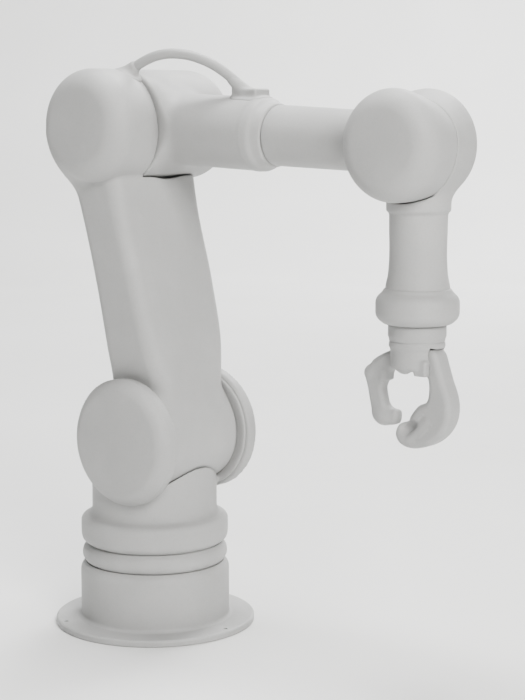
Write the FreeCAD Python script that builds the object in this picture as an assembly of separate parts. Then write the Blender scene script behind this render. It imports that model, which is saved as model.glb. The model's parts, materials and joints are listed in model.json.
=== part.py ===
"""Desktop robot arm: six turning joints, a two-finger gripper, and the drives inside.

Millimetres. +Z is up, the arm reaches out along +X, and the joint axes of the shoulder, the elbow and
the wrist run along +Y. The origin is the centre of the base's underside.
"""
import FreeCAD, Part
from FreeCAD import Vector
import math
import os

X = Vector(1, 0, 0)
Y = Vector(0, 1, 0)
Z = Vector(0, 0, 1)

# joint centres, with the arm at rest
SHOULDER = Vector(13.6, 0, 150.4)
ELBOW = Vector(-14.5, 0, 388.0)
WRIST = Vector(238.2, 0, 376.0)
FOREARM_DROOP = 2.4                     # degrees that the forearm points down at rest
FOREARM_Y = 12.0                        # the forearm tube's sideways offset
HAND_Y = 11.5                           # the hand's sideways offset
FINGER_PIVOT_X = 9.5                    # each finger pivot from the hand's axis
FINGER_PIVOT_Z = 227.0

# clearances
GAP = 0.4                               # between casings that move past each other
FIT = 0.05                              # a running fit, on the radius

# base
FLANGE_R = 78.0
FLANGE_T = 5.3
DRUM_R = 58.3
GROOVE_R = 54.6
DECK_TOP = 49.2
DECK_T = 4.7
BASE_WALL = 4.0
MOUNT_PCD = 145.0
MOUNT_HOLE_R = 1.7
MOUNT_HOLES = 3
MOUNT_FIRST_ANGLE = -120.0
RING_TOP = 64.2
RING_IN = 45.0                          # bore of the trim ring
PLATE_R = 52.0
PLATE_T = 2.0
PLATE_Z = 1.0
PLATE_TOP = PLATE_Z + PLATE_T
PLATE_SCREWS = 4
PLATE_SCREW_PCR = 46.0
PLATE_SCREW_TURN = 45.0
THREAD_R = 1.25                         # of the plate's screws
SCREW_HEAD_R = 2.7
SCREW_HEAD_T = 0.9
BOSS_AT_PLATE_R = 4.0

# what the base holds
BUTTON_Z = 24.0
BUTTON_AT = Vector(0, DRUM_R, BUTTON_Z)
BUTTON_R = 5.0
BUTTON_COLLAR_R = 6.6
SOCKET_Z = 22.0
POWER_Y = 14.0
POWER_R = 5.6
DATA_Y = -14.0
DATA_W = 12.6
DATA_H = 7.6
SOCKET_DEPTH = 10.0
BOARD_AT = Vector(14.0, 0, 13.8)
BOARD_SIZE = (52.0, 44.0, 1.6)
BOARD_HOLE_X = 22.0                     # the board's screw posts, each way from its centre
BOARD_HOLE_Y = 18.0
POST_R = 1.6
WAIST_MOTOR_R = 14.0
WAIST_MOTOR_Z = 4.5
WAIST_MOTOR_LENGTH = 22.0
WAIST_MOTOR_TOP = WAIST_MOTOR_Z + WAIST_MOTOR_LENGTH
SHAFT_R = 2.5

# waist bearing and gears
BEARING_R = 34.5                        # ball circle
BALL_R = 2.6
BALLS = 20
HUB_R = 20.0
MODULE = 1.0
WAIST_TEETH = 48
PINION_TEETH = 16
GEAR_Z = 34.0
GEAR_T = 6.0
RACE_OUT = BEARING_R + 7.0
RACE_IN = BEARING_R - 7.0
RACE_HALF_GAP = 1.6                     # from the ball circle to each race
RACE_T = 11.0
BALL_Z = DECK_TOP + 5.5
MOTOR_AT = Vector(-(WAIST_TEETH + PINION_TEETH) * MODULE / 2, 0, 0)

# turret
COLLAR_R = 57.5
NECK_R = 48.75
NECK_TOP = 131.0
EAR_IN = 38.5                           # inner face of each ear, from the middle
EAR_OUT = 44.0
EAR_R = 44.5
CAP_IN = 41.0
CAP_OUT = 58.5
CAP_R = 48.4
CAP_RIM = 9.0
CAP_WALL = 2.4
BARREL_R = 40.0                         # the upper arm's round lower end
AXLE_R = 9.0
AXLE_END = 48.5
SHOULDER_BEARING_R = 16.0
SHOULDER_MOTOR_R = 30.0
SHOULDER_MOTOR_T = 10.0

# elbow
ELBOW_R = 42.3
ELBOW_LEFT = -67.5
ELBOW_SPLIT = -16.0                     # where the upper arm's drum meets the forearm's barrel
ELBOW_RIGHT = 73.0
ELBOW_RIM = 15.0
ELBOW_CAP_T = 17.0
ELBOW_BEARING_Y = -28.0
ELBOW_BEARING_R = 20.0
ELBOW_BEARING_T = 7.0
ELBOW_MOTOR_R = 27.0
ELBOW_MOTOR_T = 26.0
SHELL = 3.2                             # wall of the arm casings

# upper arm: height, centre's forward station, depth, width, corner radius
ARM_SECTIONS = [
    (150.4, 13.6, 58.0, 76.0, 12.0),
    (196.0, 14.6, 58.0, 76.4, 12.0),
    (218.0, 12.4, 53.0, 86.0, 11.0),
    (266.0, 3.0, 47.5, 92.6, 10.0),
    (325.0, -12.6, 46.5, 94.6, 10.0),
    (366.0, -23.0, 52.0, 97.0, 10.0),
]
ARM_TOP_DROP = 22.0                     # from the elbow's centre down to the column's top
SADDLE_GAP = 0.7                        # from the column's saddle to the barrel that turns in it
ARM_DIR = (ELBOW - SHOULDER).normalize()
ARM_LEAN = math.degrees(math.atan2(ARM_DIR.x, ARM_DIR.z))
SPINE_SIZE = (12.0, 30.0, 142.0)
SPINE_MIDDLE = 117.0                    # from the shoulder, along the arm

# forearm
SLEEVE_R = 27.0
SLEEVE_END = 104.5
NOSE_END = 114.5
TUBE_R = 22.2
TUBE_END_R = 21.2
MOUTH_R = 17.0                          # the hole in the sleeve's nose
JOURNAL_R = 16.0                        # the tube's journal inside the sleeve
ROLL_BEARING_FROM = 92.0
ROLL_BEARING_TO = 102.0
ROLL_MOTOR_R = 18.0
ROLL_MOTOR_FROM = 30.0
ROLL_MOTOR_TO = 78.0
DROOP = math.radians(FOREARM_DROOP)
ALONG = Vector(math.cos(DROOP), 0, -math.sin(DROOP))

# wrist and hand
WRIST_R = 38.7
WRIST_W = 37.0                          # each wrist drum's width
WRIST_CAP_T = 24.0
WRIST_RIM = 14.0
WRIST_NIP = 3.4                         # how far each drum draws in where the two meet
WRIST_GAP = 0.6                         # from a drum to what the other drum carries past it
WRIST_AXLE_R = 6.0
WRIST_BEARING_R = 9.0
WRIST_MOTOR_R = 20.0
COLLAR_BAND_R = 22.4
HAND_R = 20.2
RING_R = 29.2
RING_LOW = 253.0
RING_HIGH = 275.0
TOOL_R = 20.35
TOOL_LOW = 240.5
TOOL_JOURNAL_R = 10.0
TOOL_MOTOR_R = 14.5
TOOL_MOTOR_Z = 280.0
TOOL_SHAFT_R = 3.0
PALM_R = 18.4
PALM_LOW = 217.5

# gripper
FINGER_TEETH = 19
SECTOR_SPAN = 75                        # degrees each side of the middle line
SLOT_W = 18.0
SLOT_TOP = 239.2
SERVO_R = 5.5
SERVO_T = 5.0
BOSS_R = 6.0
REAR_FINGER_T = 10.0
FRONT_FINGER_T = 17.0
SECTOR_T = 4.0
PIN_R = 2.0

# cable from the elbow drum to the sleeve
CABLE_R = 3.75
CABLE_ROUTE = [
    Vector(2.6, -22.7, 430.2),
    Vector(12.0, -21.0, 436.0),
    Vector(27.0, -17.0, 441.0),
    Vector(43.0, -11.0, 440.8),
    Vector(58.0, -4.0, 436.0),
    Vector(71.5, 2.5, 427.5),
    Vector(81.0, 7.5, 418.0),
]
GLAND_DIR = Vector(CABLE_ROUTE[1] - CABLE_ROUTE[0]).normalize()
GLAND = CABLE_ROUTE[0] - GLAND_DIR * 6.0
BEND_SHARE = 0.45                       # of the shorter run, that each bend takes up
ENTRY_X = 90.0
ENTRY_SIZE = (27.0, 16.0, 16.0)
ENTRY_FOOT = Vector(ENTRY_X + 4, FOREARM_Y, 404.0)
ENTRY_PROUD = 5.8                       # of the sleeve's top


def cyl(radius, length, start, direction=Z):
    """A solid cylinder from start along direction."""
    return Part.makeCylinder(radius, length, start, direction)


def tube(outer, inner, length, start, direction=Z):
    """A plain ring."""
    return cyl(outer, length, start, direction).cut(cyl(inner, length, start, direction))


def box(centre, size):
    """A box from its centre and its full size."""
    return Part.makeBox(size[0], size[1], size[2], centre - Vector(*size) * 0.5)


def fuse(shapes):
    """One solid out of several that overlap or meet face to face."""
    whole = shapes[0].fuse(list(shapes[1:]))
    return whole.removeSplitter()


def cut(shape, *tools):
    """The shape with every tool taken away."""
    for tool in tools:
        shape = shape.cut(tool)
    return shape


def group(shapes):
    """Several separate solids in one node."""
    return Part.makeCompound(list(shapes))


def outline(steps):
    """A closed face in the XZ plane. A step is a point, or a pair (through, end) for an arc."""
    edges = []
    here = start = steps[0]
    for step in list(steps[1:]) + [start]:
        if isinstance(step[0], tuple):
            through, end = step
            edges.append(Part.Arc(vec(here), vec(through), vec(end)).toShape())
        else:
            end = step
            if end == here:
                continue
            edges.append(Part.LineSegment(vec(here), vec(end)).toShape())
        here = end
    return Part.Face(Part.Wire(edges))


def vec(point):
    """A flat (x, z) point as a vector in the XZ plane."""
    return Vector(point[0], 0, point[1])


def turned(steps, centre=Vector(0, 0, 0)):
    """The outline's (radius, height) turned about the vertical line through centre."""
    face = outline(steps)
    face.translate(centre)
    return face.revolve(centre, Z, 360)


def drum(radius, low, high, centre, rim_low=0.0, rim_high=0.0, nip_low=0.0, nip_high=0.0):
    """A drum along Y. Each end has a rim rounding, or a nip: a long shallow draw-in."""
    steps = [(0, low)]
    steps += drum_end(radius, low, 1, rim_low, nip_low)
    steps += reverse_end(drum_end(radius, high, -1, rim_high, nip_high))
    steps += [(0, high)]
    solid = turned(steps)
    solid.rotate(Vector(0, 0, 0), X, -90)
    solid.translate(Vector(centre.x, 0, centre.z))
    return solid


def drum_end(radius, station, way, rim, nip):
    """The outline's steps at one end, from the axis outwards."""
    if rim:
        k = 1 - math.sqrt(0.5)
        return [(radius - rim, station),
                ((radius - rim * k, station + way * rim * k), (radius, station + way * rim))]
    if nip:
        reach = 3.6 * nip
        return [(radius - nip, station),
                ((radius - nip / 4, station + way * reach / 2), (radius, station + way * reach))]
    return [(radius, station)]


def reverse_end(steps):
    """The same end walked from the outside in."""
    if len(steps) == 1:
        return steps
    inner, (through, outer) = steps
    return [outer, (through, inner)]


def at_y(centre, y):
    """The joint centre's point at the station y."""
    return Vector(centre.x, y, centre.z)


def involute(base, t):
    """A point on the involute of a circle, at roll angle t."""
    return (base * (math.cos(t) + t * math.sin(t)), base * (math.sin(t) - t * math.cos(t)))


def gear_face(teeth, module, backlash=0.12, span=None):
    """A spur gear's face about the origin in XY. A tooth is centred on +X; span keeps a sector."""
    pitch = teeth * module / 2
    base = pitch * math.cos(math.radians(20))
    tip = pitch + 0.8 * module
    root = pitch - 1.15 * module
    lead = math.tan(math.radians(20)) - math.radians(20)
    half = math.pi / (2 * teeth) - backlash / (2 * pitch)
    flank = []
    for step in range(5):
        reach = max(base, root) + (tip - max(base, root)) * step / 4
        roll = math.sqrt(max(0.0, (reach / base) ** 2 - 1))
        x, y = involute(base, roll)
        flank.append((reach, half + lead - math.atan2(y, x)))
    start = [(root, flank[0][1])] if root < base else []
    side = start + flank
    angles = range(teeth)
    if span is not None:
        angles = [n for n in range(-teeth // 2, teeth // 2) if abs(n * 360 / teeth) <= span]
    points = []
    for n in angles:
        turn = 2 * math.pi * n / teeth
        for reach, angle in [(r, -a) for r, a in side] + [(r, a) for r, a in reversed(side)]:
            points.append(Vector(reach * math.cos(turn + angle), reach * math.sin(turn + angle), 0))
    if span is not None:
        points.append(Vector(0, 0, 0))
    return Part.Face(Part.makePolygon(points + points[:1]))


def gear(teeth, module, thickness, centre, turn=0.0, span=None):
    """A spur gear on a vertical axis, turned by an angle."""
    solid = gear_face(teeth, module, span=span).extrude(Z * thickness)
    solid.rotate(Vector(0, 0, 0), Z, turn)
    solid.translate(centre)
    return solid


def ring_points(radius, count, z, first=0.0):
    """Points evenly round a vertical axis."""
    angles = [math.radians(first + 360.0 * n / count) for n in range(count)]
    return [Vector(radius * math.cos(a), radius * math.sin(a), z) for a in angles]


def plate_screw_points(z):
    """The bottom plate's screws, at a height."""
    return ring_points(PLATE_SCREW_PCR, PLATE_SCREWS, z, PLATE_SCREW_TURN)


# ---------------------------------------------------------------- base
def base_housing():
    inner = DRUM_R - BASE_WALL
    under = DECK_TOP - DECK_T
    shell = turned([
        (inner, 0), (FLANGE_R - 0.8, 0), (FLANGE_R, 0.8), (FLANGE_R, FLANGE_T - 1.8),
        ((FLANGE_R - 0.5, FLANGE_T - 0.5), (FLANGE_R - 1.8, FLANGE_T)), (DRUM_R + 3.0, FLANGE_T),
        ((DRUM_R + 0.9, FLANGE_T + 0.9), (DRUM_R, FLANGE_T + 3.0)), (DRUM_R, 41.5),
        ((57.4, 45.9), (GROOVE_R, DECK_TOP)), (BEARING_R - 5.0, DECK_TOP),
        (BEARING_R - 5.0, under), (inner, under),
    ])
    holes = [cyl(MOUNT_HOLE_R, FLANGE_T + 2, p, Z)
             for p in ring_points(MOUNT_PCD / 2, MOUNT_HOLES, -1, MOUNT_FIRST_ANGLE)]
    height = under - PLATE_TOP
    bosses = [cyl(BOSS_AT_PLATE_R, height, p, Z) for p in plate_screw_points(PLATE_TOP)]
    room = cyl(inner + 0.5, under, Vector(0, 0, 0))
    width = 2 * BOSS_AT_PLATE_R
    webs = [box(Vector(p.x * 1.1, p.y * 1.1, (under + PLATE_TOP) / 2), (width, width, height))
            .common(room) for p in plate_screw_points(0)]
    pilot = [cyl(THREAD_R, 12, p, Z) for p in plate_screw_points(PLATE_TOP)]
    button = cyl(BUTTON_R + 0.3, 14, BUTTON_AT + Y * 3, Y * -1)
    power = cyl(POWER_R, 14, Vector(-DRUM_R - 4, POWER_Y, SOCKET_Z), X)
    data = box(Vector(-DRUM_R, DATA_Y, SOCKET_Z), (16, DATA_W, DATA_H))
    return cut(fuse([shell] + bosses + webs), *holes, *pilot, button, power, data)


def base_trim_ring():
    foot = GROOVE_R - 0.3
    return turned([
        (RING_IN, DECK_TOP), (foot, DECK_TOP),
        ((GROOVE_R + 1.6, (DECK_TOP + RING_TOP) / 2), (foot, RING_TOP)), (RING_IN, RING_TOP),
    ])


def base_bottom_plate():
    plate = cyl(PLATE_R, PLATE_T, Vector(0, 0, PLATE_Z))
    holes = [cyl(MOUNT_HOLE_R, PLATE_T + 2, p) for p in plate_screw_points(PLATE_Z - 1)]
    return cut(plate, *holes)


def bottom_plate_screws():
    return group([small_screw(p) for p in plate_screw_points(PLATE_Z)])


def small_screw(seat):
    """A low screw whose head sits inside the flange's recess."""
    return fuse([cyl(THREAD_R, 10, seat), cyl(SCREW_HEAD_R, SCREW_HEAD_T, seat - Z * SCREW_HEAD_T)])


def waist_bearing_outer_race():
    race = tube(RACE_OUT, BEARING_R + RACE_HALF_GAP, RACE_T, Vector(0, 0, DECK_TOP))
    return cut(race, Part.makeTorus(BEARING_R, BALL_R + 0.3, Vector(0, 0, BALL_Z)))


def waist_bearing_inner_race():
    race = tube(BEARING_R - RACE_HALF_GAP, RACE_IN, RACE_T, Vector(0, 0, DECK_TOP + 0.5))
    return cut(race, Part.makeTorus(BEARING_R, BALL_R + 0.02, Vector(0, 0, BALL_Z)))


def waist_bearing_balls():
    return group([Part.makeSphere(BALL_R, p) for p in ring_points(BEARING_R, BALLS, BALL_Z)])


def waist_gear():
    """The turret's driven gear, on a hollow hub that passes down through the deck."""
    blank = gear(WAIST_TEETH, MODULE, GEAR_T, Vector(0, 0, GEAR_Z))
    hub = cyl(HUB_R, DECK_TOP + 17 - GEAR_Z, Vector(0, 0, GEAR_Z))
    collar = cyl(RACE_IN, 5.5, Vector(0, 0, DECK_TOP + RACE_T + 0.5))
    bore = cyl(HUB_R - 5, 60, Vector(0, 0, GEAR_Z - 1))
    return cut(fuse([blank, hub, collar]), bore)


def waist_pinion():
    """The motor's pinion, with the gap between two teeth turned towards the waist gear."""
    half_tooth = 180.0 / PINION_TEETH
    wheel = gear(PINION_TEETH, MODULE, GEAR_T, MOTOR_AT + Z * GEAR_Z, turn=half_tooth)
    hub = cyl(4.5, 3.0, MOTOR_AT + Z * (GEAR_Z - 3.0))
    return cut(fuse([wheel, hub]), cyl(SHAFT_R + FIT, 12, MOTOR_AT + Z * (GEAR_Z - 4)))


def waist_motor():
    can = cyl(WAIST_MOTOR_R, WAIST_MOTOR_LENGTH, MOTOR_AT + Z * WAIST_MOTOR_Z)
    boss = cyl(6.0, 1.5, MOTOR_AT + Z * WAIST_MOTOR_TOP)
    shaft = cyl(SHAFT_R, 12.0, MOTOR_AT + Z * WAIST_MOTOR_TOP)
    return fuse([can, boss, shaft])


def waist_motor_bracket():
    """A plate on the motor's face, with two legs up to the underside of the deck."""
    plate = box(MOTOR_AT + Z * (WAIST_MOTOR_TOP + 1.4), (30, 40, 2.8))
    under = DECK_TOP - DECK_T
    leg = (8, 5, under - WAIST_MOTOR_TOP)
    legs = [box(Vector(MOTOR_AT.x, side * 17.5, (WAIST_MOTOR_TOP + under) / 2), leg)
            for side in (-1, 1)]
    reach = cyl(DRUM_R - BASE_WALL - 0.5, 60, Vector(0, 0, 0))
    return cut(fuse([plate] + legs), cyl(6.0, 8, MOTOR_AT + Z * 25)).common(reach)


def control_board():
    board = box(BOARD_AT, BOARD_SIZE)
    chips = [box(Vector(6, 6, 15.6), (12, 12, 2.0)), box(Vector(26, -8, 15.1), (8, 10, 1.0)),
             box(Vector(22, 13, 17.1), (6, 9, 5.0)), box(Vector(4, -13, 16.1), (9, 6, 3.0))]
    holes = [cyl(POST_R, 4, p + Z * 12) for p in board_corners()]
    return cut(fuse([board] + chips), *holes)


def board_corners():
    return [Vector(BOARD_AT.x + sx * BOARD_HOLE_X, sy * BOARD_HOLE_Y, 0)
            for sx in (-1, 1) for sy in (-1, 1)]


def board_standoffs():
    seat = BOARD_AT.z - BOARD_SIZE[2] / 2
    posts = [fuse([cyl(2.6, seat - PLATE_TOP, p + Z * PLATE_TOP), cyl(POST_R, 3.0, p + Z * seat)])
             for p in board_corners()]
    return group(posts)


def power_socket():
    """A round jack with its pin, through the casing's rear wall."""
    start = Vector(-DRUM_R - 0.6, POWER_Y, SOCKET_Z)
    barrel = cyl(POWER_R, SOCKET_DEPTH, start, X)
    lip = cyl(6.8, 1.8, start, X)
    mouth = cyl(3.2, 9, start, X)
    pin = cyl(1.0, 9, start + X * 0.5, X)
    lip = lip.cut(cyl(DRUM_R, 60, Vector(0, 0, 0)))
    return fuse([cut(fuse([barrel, lip]), mouth), pin])


def data_socket():
    """A small rectangular data socket, through the casing's rear wall."""
    start = -DRUM_R - 0.2
    body = box(Vector(start + SOCKET_DEPTH / 2, DATA_Y, SOCKET_Z), (SOCKET_DEPTH, DATA_W, DATA_H))
    mouth = box(Vector(start + 3, DATA_Y, SOCKET_Z), (10, 9.4, 4.4))
    tongue = box(Vector(start + 5, DATA_Y, SOCKET_Z), (8, 7.0, 0.9))
    return fuse([cut(body, mouth), tongue])


def power_button():
    cap = cyl(BUTTON_R, 10.5, BUTTON_AT + Y * 1.0, Y * -1)
    return fuse([cap, cyl(BUTTON_COLLAR_R, 1.2, BUTTON_AT - Y * 6.0, Y * -1)])


# ---------------------------------------------------------------- turret

def turret_housing():
    """Collar, neck and two ears, hollow under the neck."""
    collar = turned([
        (RACE_IN, RING_TOP + GAP), (GROOVE_R - 0.2, RING_TOP + GAP),
        ((57.0, 66.3), (COLLAR_R, 69.0)), (COLLAR_R, 78.5),
        ((55.6, 83.6), (51.6, 86.6)), ((49.6, 88.3), (NECK_R, 91.5)), (NECK_R, NECK_TOP),
        (0, NECK_TOP), (0, 112.0), (44.0, 104.0), (44.0, 70.5), (RACE_IN, 70.5),
    ])
    saddle = cyl(BARREL_R + 0.6, 2 * EAR_IN, at_y(SHOULDER, -EAR_IN), Y)
    over = Part.makeBox(120, 2 * EAR_IN, 60, Vector(SHOULDER.x - 60, -EAR_IN, NECK_TOP))
    parts = [cut(collar, saddle, over)]
    for side in (-1, 1):
        parts.append(ear(side))
    whole = fuse(parts)
    seats = [cyl(CAP_R, 30, at_y(SHOULDER, side * EAR_OUT), Y * side) for side in (-1, 1)]
    skirts = [tube(CAP_R, EAR_R, EAR_OUT - CAP_IN, at_y(SHOULDER, side * CAP_IN), Y * side)
              for side in (-1, 1)]
    bores = [cyl(SHOULDER_BEARING_R, EAR_OUT - EAR_IN + 2, at_y(SHOULDER, side * (EAR_IN - 1)), Y * side)
             for side in (-1, 1)]
    return cut(whole, *seats, *skirts, *bores)


def ear(side):
    """A round ear on a web that comes up out of the neck."""
    plate = cyl(EAR_R, EAR_OUT - EAR_IN, at_y(SHOULDER, side * EAR_IN), Y * side)
    web = Part.makeBox(66, 10, 50, Vector(-32, min(side * EAR_IN, side * (EAR_IN + 10)), 96))
    return fuse([plate, web.common(cyl(NECK_R, 200, Vector(0, 0, 0)))])


def shoulder_cap(side):
    """A deep round cover with a soft rim, over the ear and its drive."""
    outer = side_drum(side, CAP_R, CAP_IN, CAP_OUT, CAP_RIM)
    inner = side_drum(side, CAP_R - CAP_WALL, EAR_OUT, CAP_OUT - CAP_WALL, CAP_RIM - CAP_WALL)
    rim = cyl(EAR_R + 0.3, EAR_OUT - CAP_IN, at_y(SHOULDER, side * CAP_IN), Y * side)
    return cut(outer, inner, rim)


def side_drum(side, radius, low, high, rim):
    """A drum about the shoulder's axis on one side, rounded at its outer end."""
    if side < 0:
        return drum(radius, -high, -low, SHOULDER, rim_low=rim)
    return drum(radius, low, high, SHOULDER, rim_high=rim)


def shoulder_motor():
    """A flat motor under the left cap, with a socket for the axle's end."""
    can = cyl(SHOULDER_MOTOR_R, SHOULDER_MOTOR_T, at_y(SHOULDER, -CAP_OUT + CAP_WALL + 0.4), Y)
    return cut(can, cyl(AXLE_R + 0.4, 4.0, at_y(SHOULDER, -AXLE_END - 0.3), Y))


def shoulder_bearings():
    width = EAR_OUT - EAR_IN
    rings = [tube(SHOULDER_BEARING_R, AXLE_R + FIT, width, at_y(SHOULDER, side * EAR_IN), Y * side)
             for side in (-1, 1)]
    return group(rings)


# ---------------------------------------------------------------- upper arm

def arm_section(height, ahead, depth, width, radius):
    """A level rounded rectangle across the upper arm."""
    k = radius * (1 - math.sqrt(0.5))
    hd, hw = depth / 2, width / 2
    edges = []
    points = []
    for index, (sx, sy) in enumerate([(1, 1), (-1, 1), (-1, -1), (1, -1)]):
        a = Vector(sx * hd, sy * (hw - radius), 0)
        b = Vector(sx * (hd - radius), sy * hw, 0)
        mid = Vector(sx * (hd - k), sy * (hw - k), 0)
        points.append((a, mid, b) if index % 2 == 0 else (b, mid, a))
    for index, (a, mid, b) in enumerate(points):
        edges.append(Part.Arc(a, mid, b).toShape())
        edges.append(Part.LineSegment(b, points[(index + 1) % 4][0]).toShape())
    wire = Part.Wire(edges)
    wire.translate(Vector(ahead, 0, height))
    return wire


def column(shrink=0.0):
    """The upper arm's tapered column, or the hollow inside it."""
    wires = []
    for height, ahead, depth, width, radius in ARM_SECTIONS:
        corner = max(radius - shrink, 2.0)
        wires.append(arm_section(height, ahead, depth - 2 * shrink, width - 2 * shrink, corner))
    return Part.makeLoft(wires, True, False)


def upper_arm_housing():
    """Round lower end, tapered column and the elbow's left drum, as one hollow casing."""
    barrel = cyl(BARREL_R, 2 * EAR_IN - 1.0, at_y(SHOULDER, -EAR_IN + 0.5), Y)
    drum_from = ELBOW_LEFT + ELBOW_CAP_T
    edge = ELBOW_SPLIT - GAP
    left = drum(ELBOW_R, drum_from, edge, ELBOW)
    saddle = cyl(ELBOW_R + SADDLE_GAP, 80, at_y(ELBOW, edge), Y)
    over = Part.makeBox(140, 100, 60, Vector(ELBOW.x - 70, edge, ELBOW.z - ARM_TOP_DROP))
    body = fuse([barrel, cut(column(), saddle, over), left])
    core = column(SHELL)
    core_cut = cyl(ELBOW_R + 4, 160, at_y(ELBOW, -80), Y)
    low_room = cyl(BARREL_R - SHELL, 2 * EAR_IN - 8, at_y(SHOULDER, -EAR_IN + 4), Y)
    drum_room = cyl(ELBOW_R - SHELL, 24, at_y(ELBOW, drum_from - 1), Y)
    bearing = cyl(ELBOW_BEARING_R, 8, at_y(ELBOW, ELBOW_BEARING_Y - 1), Y)
    shaft = cyl(AXLE_R + 1, 30, at_y(ELBOW, ELBOW_BEARING_Y), Y)
    axle = cyl(AXLE_R, 120, at_y(SHOULDER, -60), Y)
    return cut(body, core.cut(core_cut), low_room, drum_room, bearing, shaft, axle, gland_hole())


def gland_hole():
    return cyl(CABLE_R + 1.0, 26, GLAND - GLAND_DIR * 10, GLAND_DIR)


def elbow_cable_gland():
    """A strain relief on the drum, from inside its wall out to the cable's first point."""
    body = cyl(CABLE_R + 1.0, 16, GLAND - GLAND_DIR * 10, GLAND_DIR)
    neck = Part.makeCone(CABLE_R + 2.8, CABLE_R + 1.0, 9.0, GLAND - GLAND_DIR * 3, GLAND_DIR)
    inside = cyl(ELBOW_R, 80, at_y(ELBOW, -60), Y)
    bore = cyl(CABLE_R - 1.2, 40, GLAND - GLAND_DIR * 12, GLAND_DIR)
    return cut(fuse([body, neck.cut(inside)]), bore)


def shoulder_axle():
    """The upper arm's axle, through both ears."""
    return cyl(AXLE_R, AXLE_END + EAR_OUT, at_y(SHOULDER, -AXLE_END), Y)


def upper_arm_spine():
    """The bar inside the casing that carries the load from the axle to the elbow's bearing."""
    width = SPINE_SIZE[1]
    blade = box(Z * SPINE_MIDDLE, SPINE_SIZE)
    root = box(Z * 30, (14, width, 34))
    slot = box(Z * SPINE_MIDDLE, (14, 16, 110))
    hub = cyl(AXLE_R + 6, width, Y * (-width / 2), Y)
    spine = fuse([cut(fuse([blade, root]), slot), hub])
    spine.rotate(Vector(0, 0, 0), Y, ARM_LEAN)
    spine.translate(SHOULDER)
    return cut(spine, cyl(AXLE_R, 80, at_y(SHOULDER, -40), Y))


def elbow_cap_left():
    outer = drum(ELBOW_R, ELBOW_LEFT, ELBOW_LEFT + ELBOW_CAP_T, ELBOW, rim_low=ELBOW_RIM)
    inner = drum(ELBOW_R - SHELL, ELBOW_LEFT + SHELL, ELBOW_LEFT + ELBOW_CAP_T, ELBOW,
                 rim_low=ELBOW_RIM - SHELL)
    return outer.cut(inner)


def elbow_motor():
    start = ELBOW_LEFT + SHELL + 1.0
    can = cyl(ELBOW_MOTOR_R, ELBOW_MOTOR_T, at_y(ELBOW, start), Y)
    nose = cyl(12.0, 3.0, at_y(ELBOW, start + ELBOW_MOTOR_T), Y)
    return fuse([can, nose])


def elbow_bearing():
    return tube(ELBOW_BEARING_R, AXLE_R + FIT, ELBOW_BEARING_T, at_y(ELBOW, ELBOW_BEARING_Y), Y)


# ---------------------------------------------------------------- forearm

def on_axis(x):
    """The forearm axis's point at a distance x forward of the origin."""
    return Vector(x, FOREARM_Y, WRIST.z + (WRIST.x - x) * math.tan(DROOP))


def along(x_from, x_to):
    """A length along the drooping axis between two forward stations."""
    return (x_to - x_from) / math.cos(DROOP)


def bar(radius, x_from, x_to):
    """A cylinder on the forearm's axis."""
    return cyl(radius, along(x_from, x_to), on_axis(x_from), ALONG)


def taper(r_from, r_to, x_from, x_to):
    """A cone on the forearm's axis."""
    return Part.makeCone(r_from, r_to, along(x_from, x_to), on_axis(x_from), ALONG)


def forearm_housing():
    """The elbow's right barrel and the sleeve that grows out of it."""
    barrel = drum(ELBOW_R, ELBOW_SPLIT, ELBOW_RIGHT - ELBOW_CAP_T, ELBOW)
    sleeve = bar(SLEEVE_R, ELBOW.x + 6, SLEEVE_END)
    nose = taper(SLEEVE_R, TUBE_R + 0.4, SLEEVE_END, NOSE_END)
    past = cyl(ELBOW_R + SADDLE_GAP, 60, at_y(ELBOW, ELBOW_SPLIT), Y * -1)
    outer = fuse([barrel, cut(fuse([sleeve, nose]), past)])
    room = cyl(ELBOW_R - SHELL, 80, at_y(ELBOW, ELBOW_SPLIT + SHELL), Y)
    past_wall = cyl(ELBOW_R + SADDLE_GAP + SHELL, 60, at_y(ELBOW, ELBOW_SPLIT + SHELL), Y * -1)
    bore = cut(bar(SLEEVE_R - SHELL, ELBOW.x + 8, SLEEVE_END - 2), past_wall)
    mouth = bar(MOUTH_R, SLEEVE_END - 4, NOSE_END + 2)
    axle = cyl(AXLE_R, 10, at_y(ELBOW, ELBOW_SPLIT - 1), Y)
    cable = cyl(CABLE_R - 1.2, 20, ENTRY_FOOT + Z * 2, Z * -1)
    return cut(outer, room.cut(cyl(200, 200, at_y(ELBOW, ELBOW_RIGHT), Y)), bore, mouth, axle, cable)


def elbow_cap_right():
    low = ELBOW_RIGHT - ELBOW_CAP_T
    outer = drum(ELBOW_R, low, ELBOW_RIGHT, ELBOW, rim_high=ELBOW_RIM)
    inner = drum(ELBOW_R - SHELL, low, ELBOW_RIGHT - SHELL, ELBOW, rim_high=ELBOW_RIM - SHELL)
    return outer.cut(inner)


def elbow_axle():
    """Fixed in the forearm's wall, and turning in the upper arm's bearing."""
    start = ELBOW_BEARING_Y - 0.5
    journal = cyl(AXLE_R, ELBOW_SPLIT + SHELL - start, at_y(ELBOW, start), Y)
    flange = cyl(20.0, 4.0, at_y(ELBOW, ELBOW_SPLIT + SHELL), Y)
    return fuse([journal, flange])


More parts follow.
